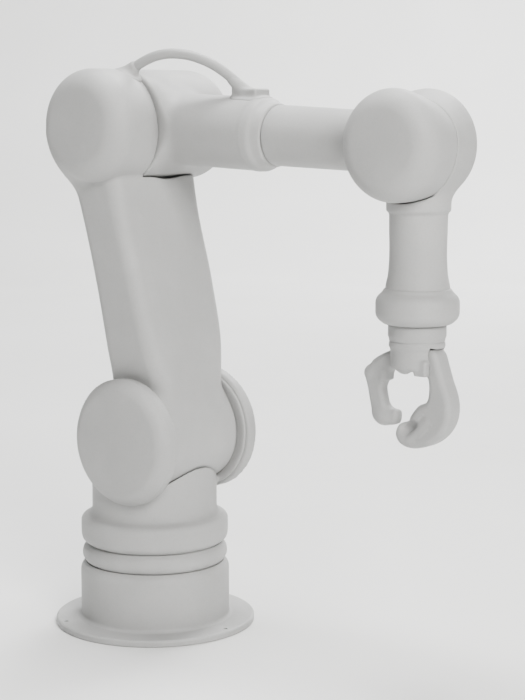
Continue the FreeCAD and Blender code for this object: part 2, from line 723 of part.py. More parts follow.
def cable_entry_box():
    """A small housing on top of the sleeve's end that takes the cable in."""
    top = on_axis(ENTRY_X).z + SLEEVE_R + ENTRY_PROUD
    block = box(Vector(ENTRY_X, FOREARM_Y, top - ENTRY_SIZE[2] / 2), ENTRY_SIZE)
    upright = [e for e in block.Edges if abs(e.tangentAt(e.FirstParameter).z) > 0.9]
    block = block.makeFillet(5.0, upright)
    lid = [e for e in block.Edges if min(v.Z for v in e.Vertexes) > top - 0.01]
    block = block.makeFillet(2.5, lid)
    end = CABLE_ROUTE[-1]
    into = Vector(end - CABLE_ROUTE[-2]).normalize()
    boot = cyl(CABLE_R + 1.2, 12, end, into)
    under = bar(SLEEVE_R, 40, SLEEVE_END)
    nose = taper(SLEEVE_R, TUBE_R + 0.4, SLEEVE_END, NOSE_END)
    return cut(fuse([block, boot]), under, nose)


def roll_motor():
    can = bar(ROLL_MOTOR_R, ROLL_MOTOR_FROM, ROLL_MOTOR_TO)
    return fuse([can, bar(3.0, ROLL_MOTOR_TO - 1, 97)])


def roll_bearing_outer_race():
    outer = bar(SLEEVE_R - SHELL, ROLL_BEARING_FROM, ROLL_BEARING_TO)
    return cut(outer, bar(20.0, ROLL_BEARING_FROM - 1, ROLL_BEARING_TO + 1))


# ---------------------------------------------------------------- forearm tube

def forearm_tube():
    """The turning tube, its journal inside the sleeve, and the left wrist drum."""
    start = NOSE_END + 0.5
    reach = WRIST.x - 12
    pipe = taper(TUBE_R, TUBE_END_R, start, reach)
    journal = bar(JOURNAL_R, ROLL_BEARING_FROM, start + 2)
    disc = drum(WRIST_R, -WRIST_W + WRIST_CAP_T, -GAP / 2, WRIST, nip_high=WRIST_NIP)
    cheek = tube_cheek()
    past = cyl(WRIST_R + WRIST_GAP, 80, at_y(WRIST, -GAP / 2), Y)
    cap_room = cyl(WRIST_R, 60, at_y(WRIST, -WRIST_W + WRIST_CAP_T), Y * -1)
    body = fuse([cut(fuse([pipe, journal, cheek]), past, cap_room), disc])
    hollow = cut(bar(TUBE_END_R - SHELL, 124, WRIST.x - 45), past)
    lead = bar(11.0, 80, 125)
    room = cyl(WRIST_R - SHELL - WRIST_NIP, 6.0, at_y(WRIST, -WRIST_W + WRIST_CAP_T - 1), Y)
    bearing = cyl(WRIST_BEARING_R, 60, at_y(WRIST, -30), Y)
    return cut(body, hollow, lead, room, bearing)


def tube_cheek():
    """The solid shoulder that carries the tube over to the wrist's left drum."""
    far = on_axis(WRIST.x - 62)
    ring = Part.Wire(Part.makeCircle(TUBE_END_R - 0.2, far, ALONG))
    near = at_y(WRIST, -7.5) - X * 20
    end = Part.Wire(Part.makeCircle(16.0, near, X))
    return Part.makeLoft([ring, end], True, False)


def roll_bearing_inner_race():
    race = bar(19.6, ROLL_BEARING_FROM + 0.5, ROLL_BEARING_TO - 0.5)
    return cut(race, bar(JOURNAL_R, ROLL_BEARING_FROM - 1, ROLL_BEARING_TO + 1))


def wrist_cap(side):
    """A round cover with a deep soft rim on a wrist drum."""
    low, high = WRIST_W - WRIST_CAP_T, WRIST_W
    if side < 0:
        outer = drum(WRIST_R, -high, -low, WRIST, rim_low=WRIST_RIM)
        inner = drum(WRIST_R - SHELL, -high + SHELL, -low, WRIST, rim_low=WRIST_RIM - SHELL)
    else:
        outer = drum(WRIST_R, low, high, WRIST, rim_high=WRIST_RIM)
        inner = drum(WRIST_R - SHELL, low, high - SHELL, WRIST, rim_high=WRIST_RIM - SHELL)
    return outer.cut(inner)


def wrist_motor():
    can = cyl(WRIST_MOTOR_R, 19.0, at_y(WRIST, -33.0), Y)
    return fuse([can, cyl(8.0, 1.5, at_y(WRIST, -14.0), Y)])


def wrist_bearing():
    return tube(WRIST_BEARING_R, WRIST_AXLE_R + FIT, 5.0, at_y(WRIST, -6.5), Y)


# ---------------------------------------------------------------- hand

def hand_point(z, ahead=0.0, side=0.0):
    """A point from the hand's axis."""
    return Vector(WRIST.x + ahead, HAND_Y + side, z)


def hand_housing():
    """The right wrist drum, and the hanging tube that grows out of it."""
    disc = drum(WRIST_R, GAP / 2, WRIST_W - WRIST_CAP_T, WRIST, nip_low=WRIST_NIP)
    body = turned([
        (0, RING_HIGH), (COLLAR_BAND_R, RING_HIGH), (COLLAR_BAND_R, RING_HIGH + 3),
        ((COLLAR_BAND_R - 1.5, RING_HIGH + 8), (HAND_R, RING_HIGH + 14)), (HAND_R, 328.5),
        ((HAND_R + 0.7, 329.9), (COLLAR_BAND_R, 330.5)), (COLLAR_BAND_R, 350.0),
        ((19.5, 356.5), (13.0, 359.0)), (0, 359.0),
    ], hand_point(0))
    past = cyl(WRIST_R + WRIST_GAP, 60, at_y(WRIST, GAP / 2), Y * -1)
    cap_room = cyl(WRIST_R, 60, at_y(WRIST, WRIST_W - WRIST_CAP_T), Y)
    body = fuse([cut(body, past, cap_room), disc])
    hollow = cyl(HAND_R - SHELL, 52, hand_point(RING_HIGH - 1))
    room = cyl(WRIST_R - SHELL - WRIST_NIP, 20, at_y(WRIST, 6.0), Y)
    return cut(body, hollow, room, cyl(WRIST_AXLE_R, 40, at_y(WRIST, -5), Y))


def wrist_axle():
    """Fixed in the hand's drum, and turning in the other drum's bearing."""
    journal = cyl(WRIST_AXLE_R, 15.0, at_y(WRIST, -8.0), Y)
    return fuse([journal, cyl(2 * WRIST_AXLE_R, 3.0, at_y(WRIST, 6.0), Y)])


def hand_ring():
    """The thick rounded ring at the hand's lower end."""
    mid = (RING_LOW + RING_HIGH) / 2
    return turned([
        (15.0, RING_LOW), (TOOL_R + 0.4, RING_LOW),
        ((RING_R - 1.5, RING_LOW + 2.4), (RING_R, mid - 3.0)), (RING_R, mid + 2.0),
        ((RING_R - 1.4, RING_HIGH - 3.0), (COLLAR_BAND_R + 1.5, RING_HIGH)), (15.0, RING_HIGH),
    ], hand_point(0))


def tool_motor():
    can = cyl(TOOL_MOTOR_R, 40, hand_point(TOOL_MOTOR_Z))
    return fuse([can, cyl(TOOL_SHAFT_R, 16, hand_point(264.5))])


def tool_bearing_outer_race():
    return tube(15.0, 12.2, 8, hand_point(260))


# ---------------------------------------------------------------- tool and gripper

def tool_flange():
    """The turning band under the ring, with its journal up inside the bearing."""
    band = turned([
        (0, TOOL_LOW), (TOOL_R - 1.6, TOOL_LOW),
        ((TOOL_R - 0.5, TOOL_LOW + 0.5), (TOOL_R, TOOL_LOW + 1.6)),
        (TOOL_R, RING_LOW - GAP), (0, RING_LOW - GAP),
    ], hand_point(0))
    journal = cyl(TOOL_JOURNAL_R, 17, hand_point(RING_LOW - 4))
    return cut(fuse([band, journal]), cyl(TOOL_SHAFT_R, 8, hand_point(264)))


def tool_bearing_inner_race():
    return tube(11.8, TOOL_JOURNAL_R, 7, hand_point(260.5))


def palm_shape():
    return turned([
        (0, PALM_LOW), (PALM_R - 3.0, PALM_LOW),
        ((PALM_R - 0.9, PALM_LOW + 0.9), (PALM_R, PALM_LOW + 3.0)), (PALM_R, TOOL_LOW), (0, TOOL_LOW),
    ], hand_point(0))


def gripper_palm():
    """A short round block, slotted from front to back for the finger roots."""
    height = SLOT_TOP - PALM_LOW + 2
    slot = box(hand_point(SLOT_TOP - height / 2), (60, SLOT_W, height))
    pins = [pivot(side, PIN_R + FIT, 60, -30) for side in (-1, 1)]
    pocket = pivot(1, SERVO_R + 0.1, SERVO_T + 0.2, SLOT_W / 2 - 0.1)
    return cut(palm_shape(), slot, pocket, *pins)


def pivot(side, radius, length, start):
    """A cylinder along a finger's pivot, from a station beside the hand's axis."""
    return cyl(radius, length, hand_point(FINGER_PIVOT_Z, side * FINGER_PIVOT_X, start), Y)


def gripper_servo():
    """A small drive in the palm's far cheek, round the front finger's pin."""
    return cut(pivot(1, SERVO_R, SERVO_T - 0.3, SLOT_W / 2 + 0.3), pivot(1, PIN_R + FIT, 60, -30))


def finger_sector(side):
    """A toothed sector about one finger's pivot, meshing with the other on the middle line."""
    module = 2 * FINGER_PIVOT_X / FINGER_TEETH
    turn = 0.0 if side < 0 else 180.0 + 180.0 / FINGER_TEETH
    solid = gear_face(FINGER_TEETH, module, span=SECTOR_SPAN).extrude(Z * SECTOR_T)
    solid.rotate(Vector(0, 0, 0), Z, turn)
    solid.rotate(Vector(0, 0, 0), X, 90)
    solid.translate(hand_point(FINGER_PIVOT_Z, side * FINGER_PIVOT_X, SECTOR_T / 2))
    return solid


def finger(side, steps, width):
    """A bent finger from its flat outline about the hand's axis, with its boss and sector."""
    blade = outline(steps).extrude(Y * width)
    blade.translate(hand_point(0, 0, -width / 2))
    other = pivot(-side, BOSS_R + 0.8, 60, -30)
    boss = pivot(side, BOSS_R, width, -width / 2)
    whole = fuse([cut(blade, other), boss, finger_sector(side)])
    return cut(whole, pivot(side, PIN_R, 60, -30))


def rear_finger():
    return finger(-1, [
        (-9.5, 233.0), (-17.0, 233.5), (-33.5, 226.5), (-40.0, 216.0), (-35.0, 192.0),
        ((-32.0, 184.0), (-24.5, 180.8)), (-15.0, 183.0), (-14.0, 189.5), (-20.5, 190.5),
        (-23.0, 194.0), (-25.5, 207.5), (-22.0, 213.0), (-16.0, 221.0), (-9.5, 221.0),
    ], REAR_FINGER_T)


def front_finger():
    return finger(1, [
        (9.5, 233.0), (17.5, 233.5), (22.0, 229.0), (26.5, 212.0), ((30.5, 195.0), (24.5, 179.5)),
        ((14.0, 169.0), (-1.0, 167.0)), (-8.0, 170.0), (-11.5, 176.0), (-9.5, 181.0),
        (-1.0, 184.5), ((4.0, 192.5), (11.0, 197.0)), (12.0, 214.0), (9.5, 221.0),
    ], FRONT_FINGER_T)


def finger_pin(side):
    length = 2 * math.sqrt(PALM_R ** 2 - (FINGER_PIVOT_X + PIN_R) ** 2) - 1
    return pivot(side, PIN_R, length, -length / 2)


# ---------------------------------------------------------------- cable

def cable_path(points):
    """Straight runs joined by tangent arcs, and the list of the arcs' radii."""
    edges = []
    radii = []
    here = points[0]
    for before, corner, after in zip(points, points[1:], points[2:]):
        back = Vector(before - corner).normalize()
        on = Vector(after - corner).normalize()
        half = (math.pi - back.getAngle(on)) / 2
        trim = BEND_SHARE * min((corner - before).Length, (after - corner).Length)
        radius = trim / math.tan(half)
        start = corner + back * trim
        end = corner + on * trim
        middle = Vector(back + on).normalize()
        mid = corner + middle * (radius / math.cos(half) - radius)
        edges.append(Part.LineSegment(here, start).toShape())
        edges.append(Part.Arc(start, mid, end).toShape())
        radii.append(radius)
        here = end
    edges.append(Part.LineSegment(here, points[-1]).toShape())
    return Part.Wire(edges), radii


def elbow_cable():
    path, radii = cable_path(CABLE_ROUTE)
    start = CABLE_ROUTE[0]
    section = Part.Wire(Part.makeCircle(CABLE_R, start, CABLE_ROUTE[1] - start))
    solid = path.makePipeShell([section], True, False)
    expected = math.pi * CABLE_R ** 2 * path.Length
    print("cable length %.1f, radii %s" % (path.Length, [round(r, 1) for r in radii]))
    print("cable volume %.0f, section times length %.0f" % (solid.Volume, expected))
    return solid


NODES = {
    "base_housing": base_housing,
    "base_trim_ring": base_trim_ring,
    "base_bottom_plate": base_bottom_plate,
    "bottom_plate_screws": bottom_plate_screws,
    "waist_bearing_outer_race": waist_bearing_outer_race,
    "waist_bearing_inner_race": waist_bearing_inner_race,
    "waist_bearing_balls": waist_bearing_balls,
    "waist_gear": waist_gear,
    "waist_pinion": waist_pinion,
    "waist_motor": waist_motor,
    "waist_motor_bracket": waist_motor_bracket,
    "control_board": control_board,
    "board_standoffs": board_standoffs,
    "power_socket": power_socket,
    "data_socket": data_socket,
    "power_button": power_button,
    "turret_housing": turret_housing,
    "shoulder_cap_left": lambda: shoulder_cap(-1),
    "shoulder_cap_right": lambda: shoulder_cap(1),
    "shoulder_motor": shoulder_motor,
    "shoulder_bearings": shoulder_bearings,
    "shoulder_axle": shoulder_axle,
    "upper_arm_housing": upper_arm_housing,
    "upper_arm_spine": upper_arm_spine,
    "elbow_cap_left": elbow_cap_left,
    "elbow_motor": elbow_motor,
    "elbow_bearing": elbow_bearing,
    "elbow_cable_gland": elbow_cable_gland,
    "elbow_cable": elbow_cable,
    "forearm_housing": forearm_housing,
    "elbow_cap_right": elbow_cap_right,
    "elbow_axle": elbow_axle,
    "cable_entry_box": cable_entry_box,
    "roll_motor": roll_motor,
    "roll_bearing_outer_race": roll_bearing_outer_race,
    "forearm_tube": forearm_tube,
    "roll_bearing_inner_race": roll_bearing_inner_race,
    "wrist_cap_left": lambda: wrist_cap(-1),
    "wrist_motor": wrist_motor,
    "wrist_bearing": wrist_bearing,
    "hand_housing": hand_housing,
    "wrist_cap_right": lambda: wrist_cap(1),
    "wrist_axle": wrist_axle,
    "hand_ring": hand_ring,
    "tool_motor": tool_motor,
    "tool_bearing_outer_race": tool_bearing_outer_race,
    "tool_flange": tool_flange,
    "tool_bearing_inner_race": tool_bearing_inner_race,
    "gripper_palm": gripper_palm,
    "gripper_servo": gripper_servo,
    "front_finger_pin": lambda: finger_pin(1),
    "rear_finger_pin": lambda: finger_pin(-1),
    "front_finger": front_finger,
    "rear_finger": rear_finger,
}


def main():
    os.makedirs("parts", exist_ok=True)
    for name, make in NODES.items():
        shape = make()
        solids = len(shape.Solids)
        print("%-26s solids %d valid %s volume %.0f" % (name, solids, shape.isValid(), shape.Volume))
        shape.exportStep("parts/%s.step" % name)


main()
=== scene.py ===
"""Looks of the desktop robot arm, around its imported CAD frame. Blender units are metres."""
import json
import math

import bmesh
import bpy
import numpy as np
from mathutils import Matrix, Vector


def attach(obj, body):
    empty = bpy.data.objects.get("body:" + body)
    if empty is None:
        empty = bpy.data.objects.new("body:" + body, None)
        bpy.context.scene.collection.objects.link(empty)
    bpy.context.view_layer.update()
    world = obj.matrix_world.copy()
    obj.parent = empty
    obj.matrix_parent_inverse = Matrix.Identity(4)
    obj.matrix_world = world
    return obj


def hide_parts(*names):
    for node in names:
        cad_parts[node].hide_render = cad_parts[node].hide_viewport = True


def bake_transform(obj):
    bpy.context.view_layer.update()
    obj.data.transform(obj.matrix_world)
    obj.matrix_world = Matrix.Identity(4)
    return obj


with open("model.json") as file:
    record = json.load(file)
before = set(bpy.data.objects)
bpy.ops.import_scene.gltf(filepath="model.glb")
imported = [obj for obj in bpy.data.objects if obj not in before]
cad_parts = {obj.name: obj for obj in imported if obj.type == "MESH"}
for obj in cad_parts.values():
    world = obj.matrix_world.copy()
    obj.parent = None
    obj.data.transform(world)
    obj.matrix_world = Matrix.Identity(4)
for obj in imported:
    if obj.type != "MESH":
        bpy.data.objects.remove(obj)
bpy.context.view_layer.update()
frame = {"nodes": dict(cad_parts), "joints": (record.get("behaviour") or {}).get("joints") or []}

MM = 0.001

# The forms below are worked out in millimetres, in the frame's own axes.
SHOULDER = (13.6, 150.4)                # x, z of each joint centre
ELBOW = (-14.5, 388.0)
WRIST = (238.2, 376.0)
DROOP = math.radians(2.4)               # how far the forearm's axis falls towards the wrist
TUBE_Y = 12.0                           # y of the forearm's axis
HAND = (238.2, 11.5)                    # x, y of the hand's axis
PIVOT_X, PIVOT_Z = 9.5, 227.0           # the finger pins: from the hand's axis, and height


# ---------------------------------------------------------------- camera, floor and light

CAMERA_PLACE = (0.914766, -0.991927, 0.400482)
CAMERA_AIM = (-0.62465, 0.76887, -0.13656)
CAMERA_HEADING = 0.682                  # radians, of the picture's level direction
LENS, SENSOR = 90.0, 36.0


def add_camera():
    """The photograph's view: a long lens a little above the elbow, from the arm's front left."""
    forward = Vector(CAMERA_AIM).normalized()
    right = Vector((math.cos(CAMERA_HEADING), math.sin(CAMERA_HEADING), 0))
    up = right.cross(forward).normalized()
    data = bpy.data.cameras.new("camera")
    data.lens = LENS
    data.sensor_width = SENSOR
    data.clip_start, data.clip_end = 0.05, 20.0
    camera = bpy.data.objects.new("camera", data)
    bpy.context.scene.collection.objects.link(camera)
    turn = Matrix((right, up, -forward)).transposed().to_4x4()
    camera.matrix_world = Matrix.Translation(CAMERA_PLACE) @ turn
    bpy.context.scene.camera = camera


def add_floor():
    """A large pale sheet under the base, with its far edges swept up."""
    size, rise, bend, steps, count = 4.0, 3.0, 1.2, 12, 64
    rings = [(size - bend, 0.0)]
    for step in range(1, steps + 1):
        a = math.pi / 2 * step / steps
        rings.append((size - bend + bend * math.sin(a), bend - bend * math.cos(a)))
    rings.append((size, rise))
    mesh = bmesh.new()
    centre = mesh.verts.new((0, 0, 0))
    rows = []
    for radius, height in rings:
        rows.append([mesh.verts.new((radius * math.cos(a), radius * math.sin(a), height))
                     for a in (2 * math.pi * n / count for n in range(count))])
    for n in range(count):
        mesh.faces.new((centre, rows[0][n], rows[0][(n + 1) % count]))
        for low, high in zip(rows, rows[1:]):
            mesh.faces.new((low[n], high[n], high[(n + 1) % count], low[(n + 1) % count]))
    data = bpy.data.meshes.new("floor")
    mesh.to_mesh(data)
    mesh.free()
    data.shade_smooth()
    floor = bpy.data.objects.new("floor", data)
    bpy.context.scene.collection.objects.link(floor)
    data.materials.append(floor_finish())


def add_light(name, place, target, size, power, colour):
    data = bpy.data.lights.new(name, "AREA")
    data.shape = "DISK"
    data.size = size
    data.energy = power
    data.color = colour
    lamp = bpy.data.objects.new(name, data)
    bpy.context.scene.collection.objects.link(lamp)
    lamp.location = place
    aim = Vector(target) - Vector(place)
    lamp.rotation_mode = "QUATERNION"
    lamp.rotation_quaternion = aim.to_track_quat("-Z", "Y")


MIDDLE = (0.08, 0.0, 0.24)              # of the arm, where the lights aim
LIGHTS = (                              # name, place, target, size, watts, colour
    ("key", (1.5, -0.8, 1.2), MIDDLE, 0.9, 34.0, (1.0, 0.99, 0.97)),
    ("top", (-0.1, 0.1, 1.9), MIDDLE, 0.8, 34.0, (1.0, 1.0, 1.0)),
    ("fill", (-1.7, -1.6, 0.7), MIDDLE, 1.4, 2.0, (0.96, 0.98, 1.0)),
    ("back", (-0.6, 2.6, 2.6), (-1.6, 2.6, 0.3), 1.6, 130.0, (1.0, 1.0, 1.0)),
)
WORLD_COLOUR, WORLD_STRENGTH = (0.92, 0.94, 0.96, 1), 0.10


def add_lights():
    """A key and a top light on the arm, a faint fill, and one light on the wall behind it."""
    for light in LIGHTS:
        add_light(*light)
    world = bpy.data.worlds.new("studio")
    world.use_nodes = True
    ground = world.node_tree.nodes["Background"]
    ground.inputs["Color"].default_value = WORLD_COLOUR
    ground.inputs["Strength"].default_value = WORLD_STRENGTH
    bpy.context.scene.world = world
    bpy.context.scene.view_settings.look = "AgX - Medium High Contrast"


# ---------------------------------------------------------------- materials

def new_material(name):
    """A material with its shader, and a helper that adds and sets a node."""
    material = bpy.data.materials.new(name)
    material.use_nodes = True
    tree = material.node_tree
    shader = tree.nodes["Principled BSDF"]

    def add(kind, **settings):
        node = tree.nodes.new(kind)
        for key, value in settings.items():
            if key in node.inputs:
                node.inputs[key].default_value = value
            else:
                setattr(node, key, value)
        return node

    return material, tree, shader, add


def noise(tree, add, place, scale, detail=3.0, rough=0.5):
    """Soft noise in the piece's own coordinates."""
    node = add("ShaderNodeTexNoise", Scale=scale, Detail=detail, Roughness=rough)
    tree.links.new(place.outputs["Object"], node.inputs["Vector"])
    return node.outputs["Fac"]


def ramp(tree, source, stops):
    """The source through a colour ramp of (position, colour) stops."""
    node = tree.nodes.new("ShaderNodeValToRGB")
    bar = node.color_ramp
    while len(bar.elements) < len(stops):
        bar.elements.new(0.5)
    for element, (position, colour) in zip(bar.elements, stops):
        element.position = position
        element.color = (*colour, 1)
    tree.links.new(source, node.inputs["Fac"])
    return node.outputs["Color"]


def span(tree, source, low, high, from_low=0.25, from_high=0.75):
    """The source's value, stretched to a new range."""
    node = tree.nodes.new("ShaderNodeMapRange")
    node.inputs["From Min"].default_value = from_low
    node.inputs["From Max"].default_value = from_high
    node.inputs["To Min"].default_value = low
    node.inputs["To Max"].default_value = high
    tree.links.new(source, node.inputs["Value"])
    return node.outputs["Result"]


# Where a mix node of colours keeps its sockets.
MIX_FACTOR, MIX_A, MIX_B, MIX_RESULT = 0, 6, 7, 2


def mix(tree, kind, amount, first, second):
    """Two colours mixed. The amount is a number or a socket, and so is each colour."""
    node = tree.nodes.new("ShaderNodeMix")
    node.data_type = "RGBA"
    node.blend_type = kind
    for index, value in ((MIX_FACTOR, amount), (MIX_A, first), (MIX_B, second)):
        if isinstance(value, bpy.types.NodeSocket):
            tree.links.new(value, node.inputs[index])
        elif index == MIX_FACTOR:
            node.inputs[index].default_value = value
        else:
            node.inputs[index].default_value = (*value, 1)
    return node.outputs[MIX_RESULT]


def bump(tree, shader, source, strength, distance, under=None):
    """Relief from the source, over any relief already made."""
    node = tree.nodes.new("ShaderNodeBump")
    node.inputs["Strength"].default_value = strength
    node.inputs["Distance"].default_value = distance
    tree.links.new(source, node.inputs["Height"])
    if under is not None:
        tree.links.new(under, node.inputs["Normal"])
    tree.links.new(node.outputs["Normal"], shader.inputs["Normal"])
    return node.outputs["Normal"]


PAINTED_CREASE_SHADE = 0.62                       # how dark the painted shade in the inner creases is
FLECK_SHADE = 0.93
RUBBED, WORN_EDGE = 1.18, 1.35          # how much paler rubbed places and edges are


def paler(colour, times):
    return tuple(min(1.0, c * times) for c in colour)


def moulded(name, colour, rough, grain=1400.0, relief=0.00012, mottle=0.07, scuffs=0.0):
    """Matte moulded plastic.

    It has a fine spark-eroded grain, slow mottling, faint rubbed places, painted shade that
    darkens the creases, and paler edges.
    """
    material, tree, shader, add = new_material(name)
    place = add("ShaderNodeTexCoord")
    darker, lighter = paler(colour, 1 - mottle), paler(colour, 1 + mottle)
    slow = noise(tree, add, place, 17.0, 4.0, 0.55)
    tone = ramp(tree, slow, [(0.3, darker), (0.55, colour), (0.75, lighter)])
    speck = noise(tree, add, place, grain * 0.6, 2.0, 0.6)
    flecks = ramp(tree, speck, [(0.3, (FLECK_SHADE,) * 3), (0.5, (1.0,) * 3)])
    tone = mix(tree, "MULTIPLY", 0.7, tone, flecks)
    patch = noise(tree, add, place, 60.0, 5.0, 0.7)
    if scuffs:
        rubbed = span(tree, patch, 0.0, scuffs, 0.56, 0.72)
        tone = mix(tree, "MIX", rubbed, tone, paler(colour, RUBBED))
    bent = tree.nodes.new("ShaderNodeNewGeometry").outputs["Pointiness"]
    # Painted shade: the colour is darkened where the surface bends inwards (low pointiness), in the
    # creases.
    painted_crease_shade = ramp(tree, bent, [(0.40, (PAINTED_CREASE_SHADE,) * 3), (0.495, (1.0,) * 3)])
    tone = mix(tree, "MULTIPLY", 0.8, tone, painted_crease_shade)
    edges = span(tree, bent, 0.0, 0.25, 0.53, 0.62)
    tone = mix(tree, "MIX", edges, tone, paler(colour, WORN_EDGE))
    tree.links.new(tone, shader.inputs["Base Color"])
    tree.links.new(span(tree, patch, rough - 0.08, rough + 0.08), shader.inputs["Roughness"])
    fine = noise(tree, add, place, grain, 3.0, 0.6)
    waves = noise(tree, add, place, 90.0, 2.0, 0.5)
    low = bump(tree, shader, waves, 0.10, 0.0003)
    bump(tree, shader, fine, 0.35, relief, under=low)
    shader.inputs["Specular IOR Level"].default_value = 0.35
    return material


def metal(name, colour, rough, streaks=(1.0, 1.0, 1.0), scale=260.0, relief=0.00005):
    """Machined metal with brushed streaks and slight staining."""
    material, tree, shader, add = new_material(name)
    place = add("ShaderNodeTexCoord")
    stretch = add("ShaderNodeMapping")
    stretch.inputs["Scale"].default_value = streaks
    tree.links.new(place.outputs["Object"], stretch.inputs["Vector"])
    brush = add("ShaderNodeTexNoise", Scale=scale, Detail=4.0, Roughness=0.6)
    tree.links.new(stretch.outputs["Vector"], brush.inputs["Vector"])
    stain = noise(tree, add, place, 30.0, 4.0, 0.6)
    dull = tuple(c * 0.8 for c in colour)
    tree.links.new(ramp(tree, stain, [(0.35, dull), (0.6, colour)]), shader.inputs["Base Color"])
    tree.links.new(span(tree, brush.outputs["Fac"], rough - 0.08, rough + 0.12),
                   shader.inputs["Roughness"])
    bump(tree, shader, brush.outputs["Fac"], 0.3, relief)
    shader.inputs["Metallic"].default_value = 1.0
    return material


def board_finish():
    """Green solder mask with faint copper tracks under it."""
    material, tree, shader, add = new_material("board")
    place = add("ShaderNodeTexCoord")
    tracks = add("ShaderNodeTexBrick", Scale=160.0)
    tracks.inputs["Color1"].default_value = (0.010, 0.085, 0.035, 1)
    tracks.inputs["Color2"].default_value = (0.012, 0.100, 0.042, 1)
    tracks.inputs["Mortar"].default_value = (0.030, 0.190, 0.070, 1)
    tree.links.new(place.outputs["Object"], tracks.inputs["Vector"])
    tree.links.new(tracks.outputs["Color"], shader.inputs["Base Color"])
    grain = noise(tree, add, place, 500.0)
    tree.links.new(span(tree, grain, 0.3, 0.45), shader.inputs["Roughness"])
    bump(tree, shader, grain, 0.2, 0.00005)
    return material


def floor_finish():
    """Pale paper with a very faint grain."""
    material, tree, shader, add = new_material("floor")
    place = add("ShaderNodeTexCoord")
    slow = noise(tree, add, place, 3.0)
    tone = ramp(tree, slow, [(0.3, (0.76, 0.76, 0.75)), (0.7, (0.79, 0.79, 0.785))])
    tree.links.new(tone, shader.inputs["Base Color"])
    shader.inputs["Roughness"].default_value = 0.9
    shader.inputs["Specular IOR Level"].default_value = 0.1
    return material


def make_finishes():
    """Every material, by the word used for it below."""
    return {
        "casing": moulded("casing_plastic", (0.43, 0.43, 0.426), 0.56, scuffs=0.2),
        "gripper": moulded("gripper_plastic", (0.41, 0.41, 0.407), 0.52, scuffs=0.2),
        "finger": moulded("finger_plastic", (0.40, 0.40, 0.397), 0.5, scuffs=0.3),
        "jacket": moulded("cable_jacket", (0.42, 0.42, 0.417), 0.5, grain=2200.0, mottle=0.04),
        "black": moulded("black_plastic", (0.03, 0.03, 0.032), 0.45, mottle=0.15),
        "button": moulded("button_plastic", (0.32, 0.32, 0.32), 0.4, mottle=0.06),
        "steel": metal("steel", (0.62, 0.62, 0.63), 0.28, (1, 1, 14)),
        "brass": metal("brass", (0.72, 0.55, 0.28), 0.3, (1, 1, 10)),
        "aluminium": metal("aluminium", (0.74, 0.75, 0.76), 0.38, (12, 1, 1)),
        "can": metal("motor_can", (0.34, 0.34, 0.35), 0.34, (1, 1, 16)),
        "board": board_finish(),
    }


# ---------------------------------------------------------------- fields: distance to a form, in mm

def rounded(a, b):
    """Distance to the corner that two flat distances share."""
    return np.minimum(np.maximum(a, b), 0) + np.hypot(np.maximum(a, 0), np.maximum(b, 0))


def join(a, b, soft):
    """Two forms in one, with a soft fillet between them."""
    h = np.clip(0.5 + 0.5 * (b - a) / soft, 0, 1)
    return b + (a - b) * h - soft * h * (1 - h)


def keep(a, b, soft):
    """What two forms share, with a softened edge."""
    return -join(-a, -b, soft)


NIP_SPREAD, NIP_FALL = 1.25, 1.5        # how wide, and how steeply, a nip fades from its angle


def drum(p, centre, radius, low, high, rims, dome=(0.0, 0.0), nip=(0.0, 0.0),
         nip_at=None, reach=13.0):
    """A drum along Y. rims, dome and nip are each (low end, high end).

    dome bulges an end's face outwards. nip draws an end in over reach, all round, or most
    towards the angle nip_at above the front.
    """
    x, y, z = p
    rho = np.hypot(x - centre[0], z - centre[1])
    middle = (low + high) / 2
    near = y < middle
    drawn = nip[0] * np.clip(1 - (y - low) / reach, 0, 1) ** 2
    drawn = drawn + nip[1] * np.clip(1 - (high - y) / reach, 0, 1) ** 2
    if nip_at is not None:
        towards = math.cos(nip_at) * (x - centre[0]) + math.sin(nip_at) * (z - centre[1])
        facing = NIP_SPREAD * towards / np.maximum(rho, 1.0) - (NIP_SPREAD - 1)
        drawn = drawn * np.clip(facing, 0, 1) ** NIP_FALL
    edge = radius - drawn
    rim = np.where(near, rims[0], rims[1])
    bulge = np.where(near, dome[0], dome[1]) * (rho / radius) ** 2
    across = rho - edge + rim
    length = np.abs(y - middle) - (high - low) / 2 + rim + bulge
    return rounded(across, length) - rim


def bar(p, start, end, r_start, r_end, rim):
    """A round bar on the drooping forearm axis between two forward stations."""
    x, y, z = p
    along = (x - start) * math.cos(DROOP) - (z - axis_z(start)) * math.sin(DROOP)
    up = (x - start) * math.sin(DROOP) + (z - axis_z(start)) * math.cos(DROOP)
    length = (end - start) / math.cos(DROOP)
    rho = np.hypot(y - TUBE_Y, up)
    radius = r_start + (r_end - r_start) * np.clip(along / length, 0, 1)
    ends = np.abs(along - length / 2) - length / 2 + rim
    return rounded(rho - radius + rim, ends) - rim


def axis_z(x):
    """The height of the forearm's axis at a forward station."""
    return WRIST[1] + (WRIST[0] - x) * math.tan(DROOP)


def post(p, centre, radius, low, high, rim):
    """An upright round post with rounded ends."""
    x, y, z = p
    rho = np.hypot(x - centre[0], y - centre[1])
    ends = np.abs(z - (low + high) / 2) - (high - low) / 2 + rim
    return rounded(rho - radius + rim, ends) - rim


def lathe(p, centre, profile, steep=0.85, edge=1.2):
    """A form turned about an upright axis, from (height, radius) knots joined by a smooth curve.

    steep scales the distance down for the profile's slope, and edge softens the two ends.
    """
    x, y, z = p
    heights, radii = zip(*profile)
    rho = np.hypot(x - centre[0], y - centre[1])
    side = (rho - flow(z, heights, radii)) * steep
    ends = np.abs(z - (heights[0] + heights[-1]) / 2) - (heights[-1] - heights[0]) / 2
    return keep(side, ends, edge)


def block(p, centre, size, rim):
    """A rounded box."""
    a, b, c = (np.abs(v - m) - s / 2 + rim for v, m, s in zip(p, centre, size))
    outside = np.sqrt(np.maximum(a, 0) ** 2 + np.maximum(b, 0) ** 2 + np.maximum(c, 0) ** 2)
    return outside + np.minimum(np.maximum(a, np.maximum(b, c)), 0) - rim


